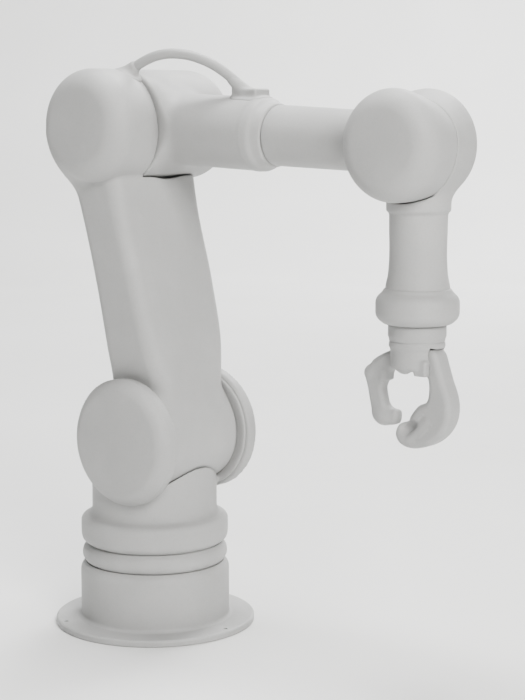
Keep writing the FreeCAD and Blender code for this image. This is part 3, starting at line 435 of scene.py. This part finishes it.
def cone(p, start, end, r_start, r_end):
    """A round-ended cone between two points."""
    reach = np.array(end) - np.array(start)
    rel = [v - s for v, s in zip(p, start)]
    t = np.clip(sum(r * d for r, d in zip(rel, reach)) / (reach ** 2).sum(), 0, 1)
    away = np.sqrt(sum((r - t * d) ** 2 for r, d in zip(rel, reach)))
    return away - (r_start + (r_end - r_start) * t)


def egg(p, centre, radii):
    """An ellipsoid, close enough to a distance near its surface."""
    near = sum(((v - m) / r) ** 2 for v, m, r in zip(p, centre, radii)) ** 0.5
    steep = sum(((v - m) / r ** 2) ** 2 for v, m, r in zip(p, centre, radii)) ** 0.5
    return near * (near - 1) / np.maximum(steep, 1e-6)


def flow(t, knots, values):
    """A smooth curve through the knots, without overshoot at its ends."""
    knots = np.array(knots, float)
    values = np.array(values, float)
    slope = np.gradient(values, knots)
    t = np.clip(t, knots[0], knots[-1])
    i = np.clip(np.searchsorted(knots, t) - 1, 0, len(knots) - 2)
    width = knots[i + 1] - knots[i]
    u = (t - knots[i]) / width
    a = (2 * u ** 3 - 3 * u ** 2 + 1) * values[i] + (u ** 3 - 2 * u ** 2 + u) * width * slope[i]
    b = (-2 * u ** 3 + 3 * u ** 2) * values[i + 1] + (u ** 3 - u ** 2) * width * slope[i + 1]
    return a + b


def turned(p, centre, angle):
    """The points as a form sees them once it has turned by the angle about a joint along Y."""
    x, y, z = p
    u, v = x - centre[0], z - centre[1]
    cos, sin = math.cos(angle), math.sin(angle)
    return centre[0] + u * cos - v * sin, y, centre[1] + u * sin + v * cos


def smooth_ring(points, parts=5):
    """A closed outline rounded through its points."""
    result = []
    count = len(points)
    for n in range(count):
        a, b, c, d = (np.array(points[(n + k) % count], float) for k in (-1, 0, 1, 2))
        for step in range(parts):
            t = step / parts
            result.append(0.5 * (2 * b + (c - a) * t + (2 * a - 5 * b + 4 * c - d) * t ** 2
                                 + (3 * b - a - 3 * c + d) * t ** 3))
    return result


def blade(p, points, thickness, rim):
    """An outline in the hand's upright plane, given a thickness along Y and rounded edges."""
    x, y, z = p
    u, v = x - HAND[0], z
    ring = smooth_ring(points)
    nearest = np.full(u.shape, 1e9)
    inside = np.zeros(u.shape, bool)
    for a, b in zip(ring, ring[1:] + ring[:1]):
        ex, ez = b - a
        t = np.clip(((u - a[0]) * ex + (v - a[1]) * ez) / (ex * ex + ez * ez), 0, 1)
        nearest = np.minimum(nearest, np.hypot(u - a[0] - ex * t, v - a[1] - ez * t))
        crosses = (a[1] > v) != (b[1] > v)
        if abs(ez) > 1e-9:
            inside ^= crosses & (u < a[0] + (v - a[1]) * ex / ez)
    flat = np.where(inside, -nearest, nearest)
    aside = np.abs(y - HAND[1]) - thickness / 2
    return rounded(flat + rim, aside + rim) - rim


# ---------------------------------------------------------------- a mesh on a field's zero surface

CORNERS = [(i, j, k) for i in (0, 1) for j in (0, 1) for k in (0, 1)]
EDGES = [(a, b) for n, a in enumerate(CORNERS) for b in CORNERS[n + 1:]
         if sum(abs(s - t) for s, t in zip(a, b)) == 1]


def skin(name, field, low, high, pitch, material, slot, body, *nodes):
    """One closed mesh where the field is zero, riding on a body in place of CAD nodes.

    The field is sampled from corner low to corner high, every pitch.
    """
    axes = [np.arange(a, b + pitch, pitch) for a, b in zip(low, high)]
    grid = np.meshgrid(*axes, indexing="ij")
    value = field(grid)
    places, quads = surface(value, np.array(low, float), pitch)
    places = settle(places, field)
    mesh = bpy.data.meshes.new(name)
    mesh.from_pydata((places * MM).tolist(), [], quads.tolist())
    mesh.validate()
    mesh.shade_smooth()
    return place(name, mesh, material, slot, body, *nodes)


def surface(value, origin, pitch):
    """One point in each cell that the surface passes, and a face across each crossed edge."""
    inside = value < 0
    count = sum(inside[i:inside.shape[0] - 1 + i, j:inside.shape[1] - 1 + j,
                       k:inside.shape[2] - 1 + k].astype(np.int8) for i, j, k in CORNERS)
    cells = np.argwhere((count > 0) & (count < 8))
    number = np.full(count.shape, -1, np.int64)
    number[tuple(cells.T)] = np.arange(len(cells))
    total = np.zeros((len(cells), 3))
    hits = np.zeros((len(cells), 1))
    for a, b in EDGES:
        va = value[tuple((cells + a).T)]
        vb = value[tuple((cells + b).T)]
        crossed = (va < 0) != (vb < 0)
        t = np.where(crossed, va / np.where(va == vb, 1, va - vb), 0)[:, None]
        point = np.array(a) + t * (np.array(b) - np.array(a))
        total += np.where(crossed[:, None], point, 0)
        hits += crossed[:, None]
    places = origin + (cells + total / hits) * pitch
    return places, crossed_faces(inside, number)


def crossed_faces(inside, number):
    """The four cells round each grid edge that crosses the surface, wound to face outwards."""
    faces = []
    for axis in range(3):
        u, v = (axis + 1) % 3, (axis + 2) % 3
        ahead = np.take(inside, range(1, inside.shape[axis]), axis)
        behind = np.take(inside, range(inside.shape[axis] - 1), axis)
        at = np.argwhere(ahead != behind)
        at = at[(at[:, u] > 0) & (at[:, v] > 0)]
        at = at[(at[:, u] < number.shape[u]) & (at[:, v] < number.shape[v])]
        ring = []
        for du, dv in ((1, 1), (0, 1), (0, 0), (1, 0)):
            cell = at.copy()
            cell[:, u] -= du
            cell[:, v] -= dv
            ring.append(number[tuple(cell.T)])
        quad = np.stack(ring, 1)
        leaving = behind[tuple(at.T)]
        quad[~leaving] = quad[~leaving][:, ::-1]
        faces.append(quad)
    faces = np.concatenate(faces)
    return faces[(faces >= 0).all(1)]


def settle(places, field, rounds=3, step=0.05, gentlest=0.2, furthest=0.6):
    """Each point drawn onto the field's zero surface, along its slope."""
    for _ in range(rounds):
        here = field(places.T)
        slope = np.stack([(field((places + step * side).T) - here) / step
                          for side in np.eye(3)], 1)
        size = np.maximum((slope ** 2).sum(1), gentlest)
        move = slope * (here / size)[:, None]
        places = places - np.clip(move, -furthest, furthest)
    return places


def place(name, mesh, material, slot, body, *nodes):
    """A finished mesh as a piece of the object."""
    piece = bpy.data.objects.new(name, mesh)
    bpy.context.scene.collection.objects.link(piece)
    mesh.materials.append(FINISH[material])
    if body:
        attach(piece, body)
    if nodes:
        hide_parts(*nodes)
    return piece


# ---------------------------------------------------------------- turret

COLLAR_R, NECK_R = 57.5, 48.75
EAR_R, EAR_IN, EAR_OUT = 46.2, 38.5, 41.0
COVER_R, COVER_IN, COVER_OUT = 48.4, 41.2, 58.5
COVER_RIM, COVER_DOME = 11.0, 2.0
WELL_R = 40.8                           # the room for the arm's round lower end
NECK_TOP = 131.0


def neck(p):
    """Collar and neck with a soft fillet, and the two ears, hollowed for the arm's round end."""
    collar = post(p, (0, 0), COLLAR_R, 64.6, 86.5, 5.0)
    under = lathe(p, (0, 0), [(60.0, 51.6), (64.6, 52.8), (67.0, 55.8), (70.5, 57.5),
                              (90.0, 60.0)])
    column = post(p, (0, 0), NECK_R, 66.0, 134.0, 3.0)
    form = join(keep(collar, under, 1.0), column, 7.0)
    for side in (-1, 1):
        low, high = sorted((side * EAR_IN, side * EAR_OUT))
        form = join(form, drum(p, SHOULDER, EAR_R, low, high, (1.2, 1.2)), 4.0)
    well = drum(p, SHOULDER, WELL_R, -EAR_IN, EAR_IN, (0.5, 0.5))
    over = block(p, (SHOULDER[0], 0, NECK_TOP + 40), (200, 2 * EAR_IN, 80), 0.5)
    return keep(form, -join(well, over, 3.0), 2.0)


def shoulder_cap(side):
    """A deep round cover, pillowed on its outer face."""
    low, high = sorted((side * COVER_IN, side * COVER_OUT))
    rims, dome = (COVER_RIM, 2.4), (COVER_DOME, 0.0)
    if side > 0:
        rims, dome = rims[::-1], dome[::-1]
    return lambda p: drum(p, SHOULDER, COVER_R, low, high, rims, dome)


def trim_ring(p):
    """The fixed ring between base and turret, bulged between its two grooves."""
    return lathe(p, (0, 0), [(49.2, 53.0), (51.4, 55.2), (54.5, 56.6), (57.5, 56.6),
                             (61.4, 55.2), (64.2, 52.6)])


def make_turret():
    skin("trim_ring", trim_ring, (-60, -60, 47), (60, 60, 67), 1.2,
         "casing", "casing", "base", "base_trim_ring")
    skin("turret_shell", neck, (-60, -60, 62), (62, 60, 197), 1.4,
         "casing", "casing", "turret", "turret_housing")
    for side, word in ((-1, "left"), (1, "right")):
        low, high = sorted((side * 38.0, side * 61.0))
        skin("shoulder_cover_" + word, shoulder_cap(side), (-38, low, 99), (65, high, 202), 1.4,
             "casing", "casing", "turret", "shoulder_cap_" + word)


# ---------------------------------------------------------------- upper arm

ARM_SECTIONS = (                        # height, centre's station, depth, width, corner
    (150.4, 13.6, 58.0, 76.0, 13.0),
    (196.0, 14.6, 58.0, 76.4, 13.0),
    (218.0, 12.4, 53.0, 86.0, 12.0),
    (266.0, 3.0, 47.5, 92.6, 11.0),
    (325.0, -12.6, 46.5, 94.6, 11.0),
    (366.0, -23.0, 52.0, 97.0, 11.0),
)
ARM_LOW, ARM_HIGH = 150.4, 366.0
LEAN_SCALE = 0.97                       # level distances are a little long on leaning walls
LOW_END_R, LOW_END_Y = 40.0, 37.6
ELBOW_R, ELBOW_RIM, ELBOW_DOME = 42.3, 16.0, 2.6
ELBOW_LEFT, ELBOW_RIGHT = -67.5, 73.0
ELBOW_NIP_AT = math.radians(20)
ELBOW_ROOM = 0.7                        # round the forearm's drum, in the upper arm's top
LOWERED_ROOM = 0.6                      # round the sleeve at the elbow's limit
SPLIT = -16.2                           # the plane where the elbow's two drums meet
SEAM = 0.25                             # half of the seam between them
ELBOW_JOINT = next(j for j in frame["joints"] if j["name"] == "elbow")
ELBOW_LIMIT = math.radians(ELBOW_JOINT["range_deg"][1])


def column(p):
    """The tapered column, from its level sections."""
    x, y, z = p
    heights, *rest = zip(*ARM_SECTIONS)
    ahead, depth, width, corner = (flow(z, heights, v) for v in rest)
    across = np.abs(x - ahead) - depth / 2 + corner
    aside = np.abs(y) - width / 2 + corner
    side = (rounded(across, aside) - corner) * LEAN_SCALE
    ends = np.abs(z - (ARM_LOW + ARM_HIGH) / 2) - (ARM_HIGH - ARM_LOW) / 2
    return keep(side, ends, 2.0)


def upper_arm(p):
    """Round lower end, column and the elbow's left drum in one soft form.

    Its top is hollowed for the forearm's drum, and for the sleeve where the elbow's limit
    lowers it.
    """
    low_end = drum(p, SHOULDER, LOW_END_R, -LOW_END_Y, LOW_END_Y, (2.0, 2.0))
    form = join(column(p), low_end, 9.0)
    head = drum(p, ELBOW, ELBOW_R, ELBOW_LEFT, SPLIT - SEAM, (ELBOW_RIM, 1.0), (ELBOW_DOME, 0.0),
                (0.0, 6.5), ELBOW_NIP_AT, 17.0)
    soft = 2.4 + 20.0 * np.clip((-16 - p[0]) / 26, 0, 1)    # a wider fillet towards the back
    beyond = drum(p, ELBOW, ELBOW_R + ELBOW_ROOM, SPLIT - 0.3, 90.0, (0.5, 0.5))
    roof = block(p, (ELBOW[0], SPLIT + 60, ARM_HIGH + 50), (200, 120, 100), 0.5)
    form = keep(form, -join(beyond, roof, 1.5), 1.5)
    form = join(form, head, soft)
    lowered = forearm(turned(p, ELBOW, ELBOW_LIMIT)) - LOWERED_ROOM
    return keep(keep(form, -beyond, 0.8), -lowered, 1.2)


def gland(p):
    """The strain relief: a soft cone on the drum that the cable comes out of."""
    relief = cone(p, (-8.6, -24.8, 421.0), (3.4, -22.6, 430.9), 8.4, 4.8)
    foot = drum(p, ELBOW, 42.6, -36.0, -17.6, (2.5, 2.5))
    near = egg(p, (-4.0, -25.5, 423.0), (16.0, 9.5, 8.5))
    return join(relief, keep(foot, near, 2.0), 4.0)


def make_upper_arm():
    skin("upper_arm_shell", upper_arm, (-60, -70, 108), (57, 53, 433), 1.6,
         "casing", "casing", "upper_arm", "upper_arm_housing", "elbow_cap_left")
    skin("cable_gland", gland, (-24, -38, 410), (12, -14, 442), 0.9,
         "casing", "casing", "upper_arm", "elbow_cable_gland")


# ---------------------------------------------------------------- forearm

SLEEVE_R = 27.0
SLEEVE_END = 106.5
ENTRY_X, ENTRY_RISE = 88.2, 32.8        # the entry box: its station, and its top over the axis


def forearm(p):
    """The elbow's right drum, and the sleeve that grows out of it."""
    barrel = drum(p, ELBOW, ELBOW_R, SPLIT + SEAM, ELBOW_RIGHT, (1.0, ELBOW_RIM),
                  (0.0, ELBOW_DOME), (2.2, 0.0), ELBOW_NIP_AT, 9.0)
    sleeve = bar(p, ELBOW[0], 97.0, SLEEVE_R, SLEEVE_R, 1.6)
    cuff = bar(p, 94.0, SLEEVE_END, 26.9, 26.9, 3.0)
    nose = bar(p, 98.0, 114.6, 27.2, 22.9, 0.8)
    arm = join(join(sleeve, cuff, 0.8), nose, 2.0)
    return keep(join(barrel, arm, 10.0), SPLIT + SEAM - p[1], 0.8)


def entry_box(p):
    """A small rounded housing on the sleeve's end, with a tapered boot for the cable."""
    top = axis_z(90.0) + ENTRY_RISE
    body = block(p, (ENTRY_X, TUBE_Y, top - 8), (23.4, 17.0, 16.0), 1.6)
    boot = cone(p, (76.5, 5.0, 421.6), (90.0, 11.5, 407.5), 3.9, 6.5)
    pad = block(p, (89, TUBE_Y, top - 10), (32, 24, 24), 9.0)
    skirt = keep(bar(p, 72.0, 107.0, 28.0, 28.0, 0.8), pad, 2.0)
    form = join(join(body, boot, 2.4), skirt, 2.6)
    return keep(form, -bar(p, 60.0, 120.0, 26.0, 26.0, 0.5), 0.6)


def make_forearm():
    skin("forearm_shell", forearm, (-60, -19, 340), (118, 76, 433), 1.5,
         "casing", "casing", "forearm", "forearm_housing", "elbow_cap_right")
    skin("cable_entry", entry_box, (70, -2, 394), (110, 27, 425), 0.9,
         "casing", "casing", "forearm", "cable_entry_box")


# ---------------------------------------------------------------- forearm tube, wrist and hand

WRIST_R, WRIST_RIM, WRIST_DOME = 38.7, 15.0, 3.0
WRIST_OUT, WRIST_SEAM = 37.0, 0.2
WRIST_NIP, WRIST_NIP_REACH = 6.4, 27.0
WRIST_ROOM = 39.4                       # how far out each drum is kept off the other's half
HAND_R = 20.3


def forearm_tube(p):
    """The turning tube and the wrist's left drum."""
    pipe = bar(p, 115.0, WRIST[0] - 6, 22.2, 21.2, 1.2)
    stub = bar(p, 106.0, 130.0, 17.5, 17.5, 0.5)
    head = drum(p, WRIST, WRIST_R, -WRIST_OUT, -WRIST_SEAM, (WRIST_RIM, 0.8), (WRIST_DOME, 0.0),
                (0.0, WRIST_NIP), math.pi / 2, WRIST_NIP_REACH)
    form = join(join(pipe, stub, 1.0), head, 6.0)
    other = drum(p, WRIST, WRIST_ROOM, -WRIST_SEAM, 60.0, (0.5, 0.5))
    return keep(form, -other, 1.0)


def hand(p):
    """The wrist's right drum, its collar band, and the hanging tube that flares at its foot."""
    head = drum(p, WRIST, WRIST_R, WRIST_SEAM, WRIST_OUT, (0.8, WRIST_RIM), (0.0, WRIST_DOME),
                (WRIST_NIP, 0.0), math.pi / 2, WRIST_NIP_REACH)
    tube = lathe(p, HAND, [(272.0, 22.6), (279.0, 22.3), (286.0, 20.9), (294.0, 20.2),
                           (320.0, 20.2), (327.0, HAND_R), (350.0, HAND_R)])
    band = post(p, HAND, 22.4, 330.0, 356.0, 1.8)
    form = join(join(tube, band, 1.6), head, 7.0)
    other = drum(p, WRIST, WRIST_ROOM, -60.0, WRIST_SEAM, (0.5, 0.5))
    return keep(form, -other, 1.0)


def ring(p):
    """The thick rounded ring at the hand's foot."""
    fat = post(p, HAND, 29.2, 253.2, 275.2, 8.0)
    waist = post(p, HAND, 23.8, 253.2, 277.6, 2.0)
    return join(fat, waist, 2.5)


def tool_band(p):
    """The turning band under the ring, stepped in at its lower edge."""
    band = post(p, HAND, 20.35, 243.0, 252.7, 1.8)
    foot = post(p, HAND, 19.6, 240.5, 250.0, 1.4)
    return join(band, foot, 1.0)


def make_hand():
    skin("forearm_tube_shell", forearm_tube, (104, -40, 335), (280, 36, 418), 1.5,
         "casing", "casing", "forearm_tube", "forearm_tube", "wrist_cap_left")
    skin("hand_shell", hand, (197, -14, 270), (280, 40, 418), 1.4,
         "casing", "casing", "hand", "hand_housing", "wrist_cap_right")
    skin("hand_ring_shell", ring, (207, -20, 250), (270, 44, 280), 1.2,
         "casing", "casing", "hand", "hand_ring")
    skin("tool_band", tool_band, (215, -11, 238), (262, 34, 255), 0.9,
         "gripper", "gripper_grey", "tool", "tool_flange")


# ---------------------------------------------------------------- gripper

PALM_R, PALM_LOW, PALM_HIGH = 18.4, 221.0, 241.0
SLOT, SLOT_TOP = 18.0, 239.2            # the slot for the finger roots: its width and roof
SWEEP_R = 13.0                          # the front finger's root, as it swings
REAR_WIDTH, FRONT_WIDTH = 10.0, 17.0


def palm(p):
    """A short round block, slotted for the finger roots, with a knob and a lug below, near side."""
    x, _, z = p
    middle, near = HAND[0], HAND[1] - SLOT / 2
    body = post(p, HAND, PALM_R, PALM_LOW, PALM_HIGH, 4.0)
    body = join(body, post(p, HAND, PALM_R + 1, 236.5, PALM_HIGH, 1.6), 3.0)
    knob = egg(p, (middle - 2.0, near - 3.2, 224.2), (6.6, 4.8, 5.8))
    lug = block(p, (middle + 11.6, near - 1.2, 223.4), (10.4, 8.6, 11.0), 1.6)
    form = join(join(body, knob, 2.0), lug, 1.6)
    slot = block(p, (middle, HAND[1], SLOT_TOP - 10), (60, SLOT, 60), 0.6)
    pin = middle + PIVOT_X
    roof = np.where((x > pin) & (z > PIVOT_Z), np.hypot(x - pin, z - PIVOT_Z) - SWEEP_R, -10.0)
    slot = np.maximum(keep(slot, z - SLOT_TOP, 0.4), roof)
    return keep(form, -slot, 0.8)


# Each finger's outline: forward of the hand's axis, and height.
REAR_OUTLINE = ((-8.5, 234.6), (-14.0, 235.0), (-19.0, 233.2), (-27.0, 229.8), (-34.8, 225.0),
                (-39.4, 219.0), (-42.4, 214.6), (-39.8, 205.0), (-37.0, 192.5), (-34.4, 184.2),
                (-28.6, 179.4), (-21.4, 179.2), (-15.4, 180.6), (-13.8, 185.6), (-15.0, 190.0),
                (-21.4, 191.0), (-24.2, 194.6), (-26.4, 204.0), (-25.4, 208.4), (-23.2, 213.0),
                (-19.6, 218.0), (-14.0, 220.8), (-8.5, 220.4))
FRONT_OUTLINE = ((8.5, 235.0), (13.0, 237.0), (17.2, 236.2), (20.8, 233.0), (23.4, 226.0),
                 (27.2, 215.0), (31.2, 205.0), (32.6, 195.0), (30.8, 185.4), (25.0, 176.4),
                 (15.6, 169.4), (5.0, 165.8), (-4.0, 165.6), (-10.6, 168.6), (-13.4, 174.6),
                 (-10.6, 181.4), (-3.6, 184.6), (0.6, 190.6), (5.6, 196.2), (12.0, 199.4),
                 (14.0, 206.0), (13.4, 215.0), (9.6, 221.0))


def rear_finger(p):
    """Slim, with a knuckle where it turns down, a stop inside it and a thick bent tip."""
    middle = HAND[0]
    form = blade(p, REAR_OUTLINE, REAR_WIDTH, 3.4)
    knuckle = egg(p, (middle - 37.6, HAND[1], 215.6), (5.6, 5.6, 5.6))
    tip = egg(p, (middle - 27.0, HAND[1], 185.8), (8.0, 6.6, 6.6))
    stop = block(p, (middle - 25.0, HAND[1], 215.0), (6.4, 9.6, 8.4), 1.6)
    form = join(join(form, join(knuckle, stop, 0.5), 2.0), tip, 3.5)
    return with_root(p, form, -1, REAR_WIDTH)


def front_finger(p):
    """Thick, curled in like a hook, with a hollow in its tip and a ridge beside it."""
    middle, near = HAND[0], HAND[1] - FRONT_WIDTH / 2
    form = blade(p, FRONT_OUTLINE, FRONT_WIDTH, 4.6)
    hollow = egg(p, (middle - 0.6, near - 1.2, 180.6), (9.2, 6.8, 6.0))
    ridge_low, ridge_high = (middle - 1.0, near + 2.6, 171.6), (middle + 14.0, near + 2.6, 186.4)
    ridge = cone(p, ridge_low, ridge_high, 2.6, 3.2)
    form = join(keep(form, -hollow, 2.2), ridge, 2.2)
    return with_root(p, form, 1, FRONT_WIDTH)


ROOT_R, ROOT_ROOM = 6.0, 6.9            # a finger's round root, and the room round the other's


def from_pin(p, side):
    """How far from a finger's pin each point is."""
    return np.hypot(p[0] - HAND[0] - side * PIVOT_X, p[2] - PIVOT_Z)


def with_root(p, form, side, width):
    """The finger with a round root on its pin, clear of the other finger's root."""
    aside = np.abs(p[1] - HAND[1])
    boss = rounded(from_pin(p, side) - ROOT_R + 1.0, aside - width / 2 + 1.0) - 1.0
    cleared = keep(form, ROOT_ROOM - from_pin(p, -side), 0.6)
    return join(cleared, boss, 2.5)


TEETH, SECTOR_TEETH, SECTOR_THICKNESS = 19, 7, 4.0


def gear_sector(name, side, body):
    """The toothed sector on a finger's root, meshing with the other on the middle line."""
    module = 2 * PIVOT_X / TEETH
    tip, foot = PIVOT_X + 0.8 * module, PIVOT_X - 1.15 * module
    shift = 0.0 if side < 0 else math.pi + math.pi / TEETH
    outline = []
    for n in range(-(SECTOR_TEETH // 2), SECTOR_TEETH // 2 + 1):
        for radius, part in ((foot, -0.36), (PIVOT_X, -0.24), (tip, -0.11),
                             (tip, 0.11), (PIVOT_X, 0.24), (foot, 0.36)):
            a = shift + (n + part) * 2 * math.pi / TEETH
            outline.append((radius * math.cos(a), radius * math.sin(a)))
    outline.append((0.0, 0.0))
    mesh = bmesh.new()
    centre_x = HAND[0] + side * PIVOT_X
    loops = []
    for y in (HAND[1] - SECTOR_THICKNESS / 2, HAND[1] + SECTOR_THICKNESS / 2):
        loops.append([mesh.verts.new(((centre_x + u) * MM, y * MM, (PIVOT_Z + v) * MM))
                      for u, v in outline])
    near, far = loops
    count = len(outline)
    for n in range(count):
        mesh.faces.new((near[n], near[(n + 1) % count], far[(n + 1) % count], far[n]))
    mesh.faces.new(list(reversed(near)))
    mesh.faces.new(far)
    bmesh.ops.recalc_face_normals(mesh, faces=mesh.faces)
    data = bpy.data.meshes.new(name)
    mesh.to_mesh(data)
    mesh.free()
    place(name, data, "finger", "finger_plastic", body)


def make_gripper():
    skin("palm", palm, (216, -12, 212), (260, 33, 244), 0.8,
         "gripper", "gripper_grey", "tool", "gripper_palm")
    skin("rear_finger_skin", rear_finger, (192, 3, 176), (241, 20, 238), 0.75,
         "finger", "finger_plastic", "rear_finger", "rear_finger")
    skin("front_finger_skin", front_finger, (224, 0, 162), (272, 23, 238), 0.75,
         "finger", "finger_plastic", "front_finger", "front_finger")
    gear_sector("rear_finger_gear", -1, "rear_finger")
    gear_sector("front_finger_gear", 1, "front_finger")


# ---------------------------------------------------------------- cable

CABLE_R = 3.75
CABLE_ROUTE = (
    (2.6, -22.7, 430.2), (12.0, -21.0, 436.0), (27.0, -17.0, 441.0), (43.0, -11.0, 440.8),
    (58.0, -4.0, 436.0), (71.5, 2.5, 427.5), (81.0, 7.5, 418.0),
)


def cable_line():
    """Points on the route's smooth line, in metres."""
    curve = bpy.data.curves.new("cable_route", "CURVE")
    curve.dimensions = "3D"
    curve.resolution_u = 24
    spline = curve.splines.new("NURBS")
    spline.points.add(len(CABLE_ROUTE) - 1)
    for point, place_mm in zip(spline.points, CABLE_ROUTE):
        point.co = (*(v * MM for v in place_mm), 1)
    spline.order_u = 3
    spline.use_endpoint_u = True
    holder = bpy.data.objects.new("cable_route", curve)
    bpy.context.scene.collection.objects.link(holder)
    bpy.context.view_layer.update()
    depsgraph = bpy.context.evaluated_depsgraph_get()
    line = bpy.data.meshes.new_from_object(holder.evaluated_get(depsgraph))
    points = [v.co.copy() for v in line.vertices]
    bpy.data.objects.remove(holder)
    bpy.data.meshes.remove(line)
    return points


def make_cable():
    """A smooth jacket that follows the line, and bends across the elbow."""
    points = cable_line()
    mesh = bmesh.new()
    around, side, radius = 28, Vector((0, 1, 0)), CABLE_R * MM
    rows = []
    for n, point in enumerate(points):
        on = (points[min(n + 1, len(points) - 1)] - points[max(n - 1, 0)]).normalized()
        across = on.cross(side).normalized()
        upward = across.cross(on).normalized()
        rows.append([mesh.verts.new(point + across * radius * math.cos(a)
                                    + upward * radius * math.sin(a))
                     for a in (2 * math.pi * k / around for k in range(around))])
    for low, high in zip(rows, rows[1:]):
        for k in range(around):
            mesh.faces.new((low[k], low[(k + 1) % around], high[(k + 1) % around], high[k]))
    mesh.faces.new(list(reversed(rows[0])))
    mesh.faces.new(rows[-1])
    bmesh.ops.recalc_face_normals(mesh, faces=mesh.faces)
    data = bpy.data.meshes.new("cable")
    mesh.to_mesh(data)
    mesh.free()
    data.shade_smooth()
    cable = place("cable", data, "jacket", "cable_jacket", None, "elbow_cable")
    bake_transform(cable)


# ---------------------------------------------------------------- CAD nodes that stay

CAD_FINISHES = {
    "casing": ("base_housing",),
    "black": ("power_socket", "data_socket", "base_bottom_plate"),
    "button": ("power_button",),
    "steel": ("bottom_plate_screws", "waist_bearing_outer_race", "waist_bearing_inner_race",
              "waist_bearing_balls", "shoulder_bearings", "shoulder_axle", "elbow_bearing",
              "elbow_axle", "roll_bearing_outer_race", "roll_bearing_inner_race", "wrist_bearing",
              "wrist_axle", "tool_bearing_outer_race", "tool_bearing_inner_race",
              "front_finger_pin", "rear_finger_pin"),
    "brass": ("waist_gear", "waist_pinion", "board_standoffs"),
    "aluminium": ("waist_motor_bracket", "upper_arm_spine"),
    "can": ("waist_motor", "shoulder_motor", "elbow_motor", "roll_motor", "wrist_motor",
            "tool_motor", "gripper_servo"),
    "board": ("control_board",),
}


def finish_cad_nodes():
    """The CAD nodes that no piece stands for, with better materials."""
    for finish, names in CAD_FINISHES.items():
        for name in names:
            materials = frame["nodes"][name].data.materials
            materials.clear()
            materials.append(FINISH[finish])


FINISH = make_finishes()
add_camera()
make_cable()
add_floor()
add_lights()
make_turret()
make_upper_arm()
make_forearm()
make_hand()
make_gripper()
finish_cad_nodes()
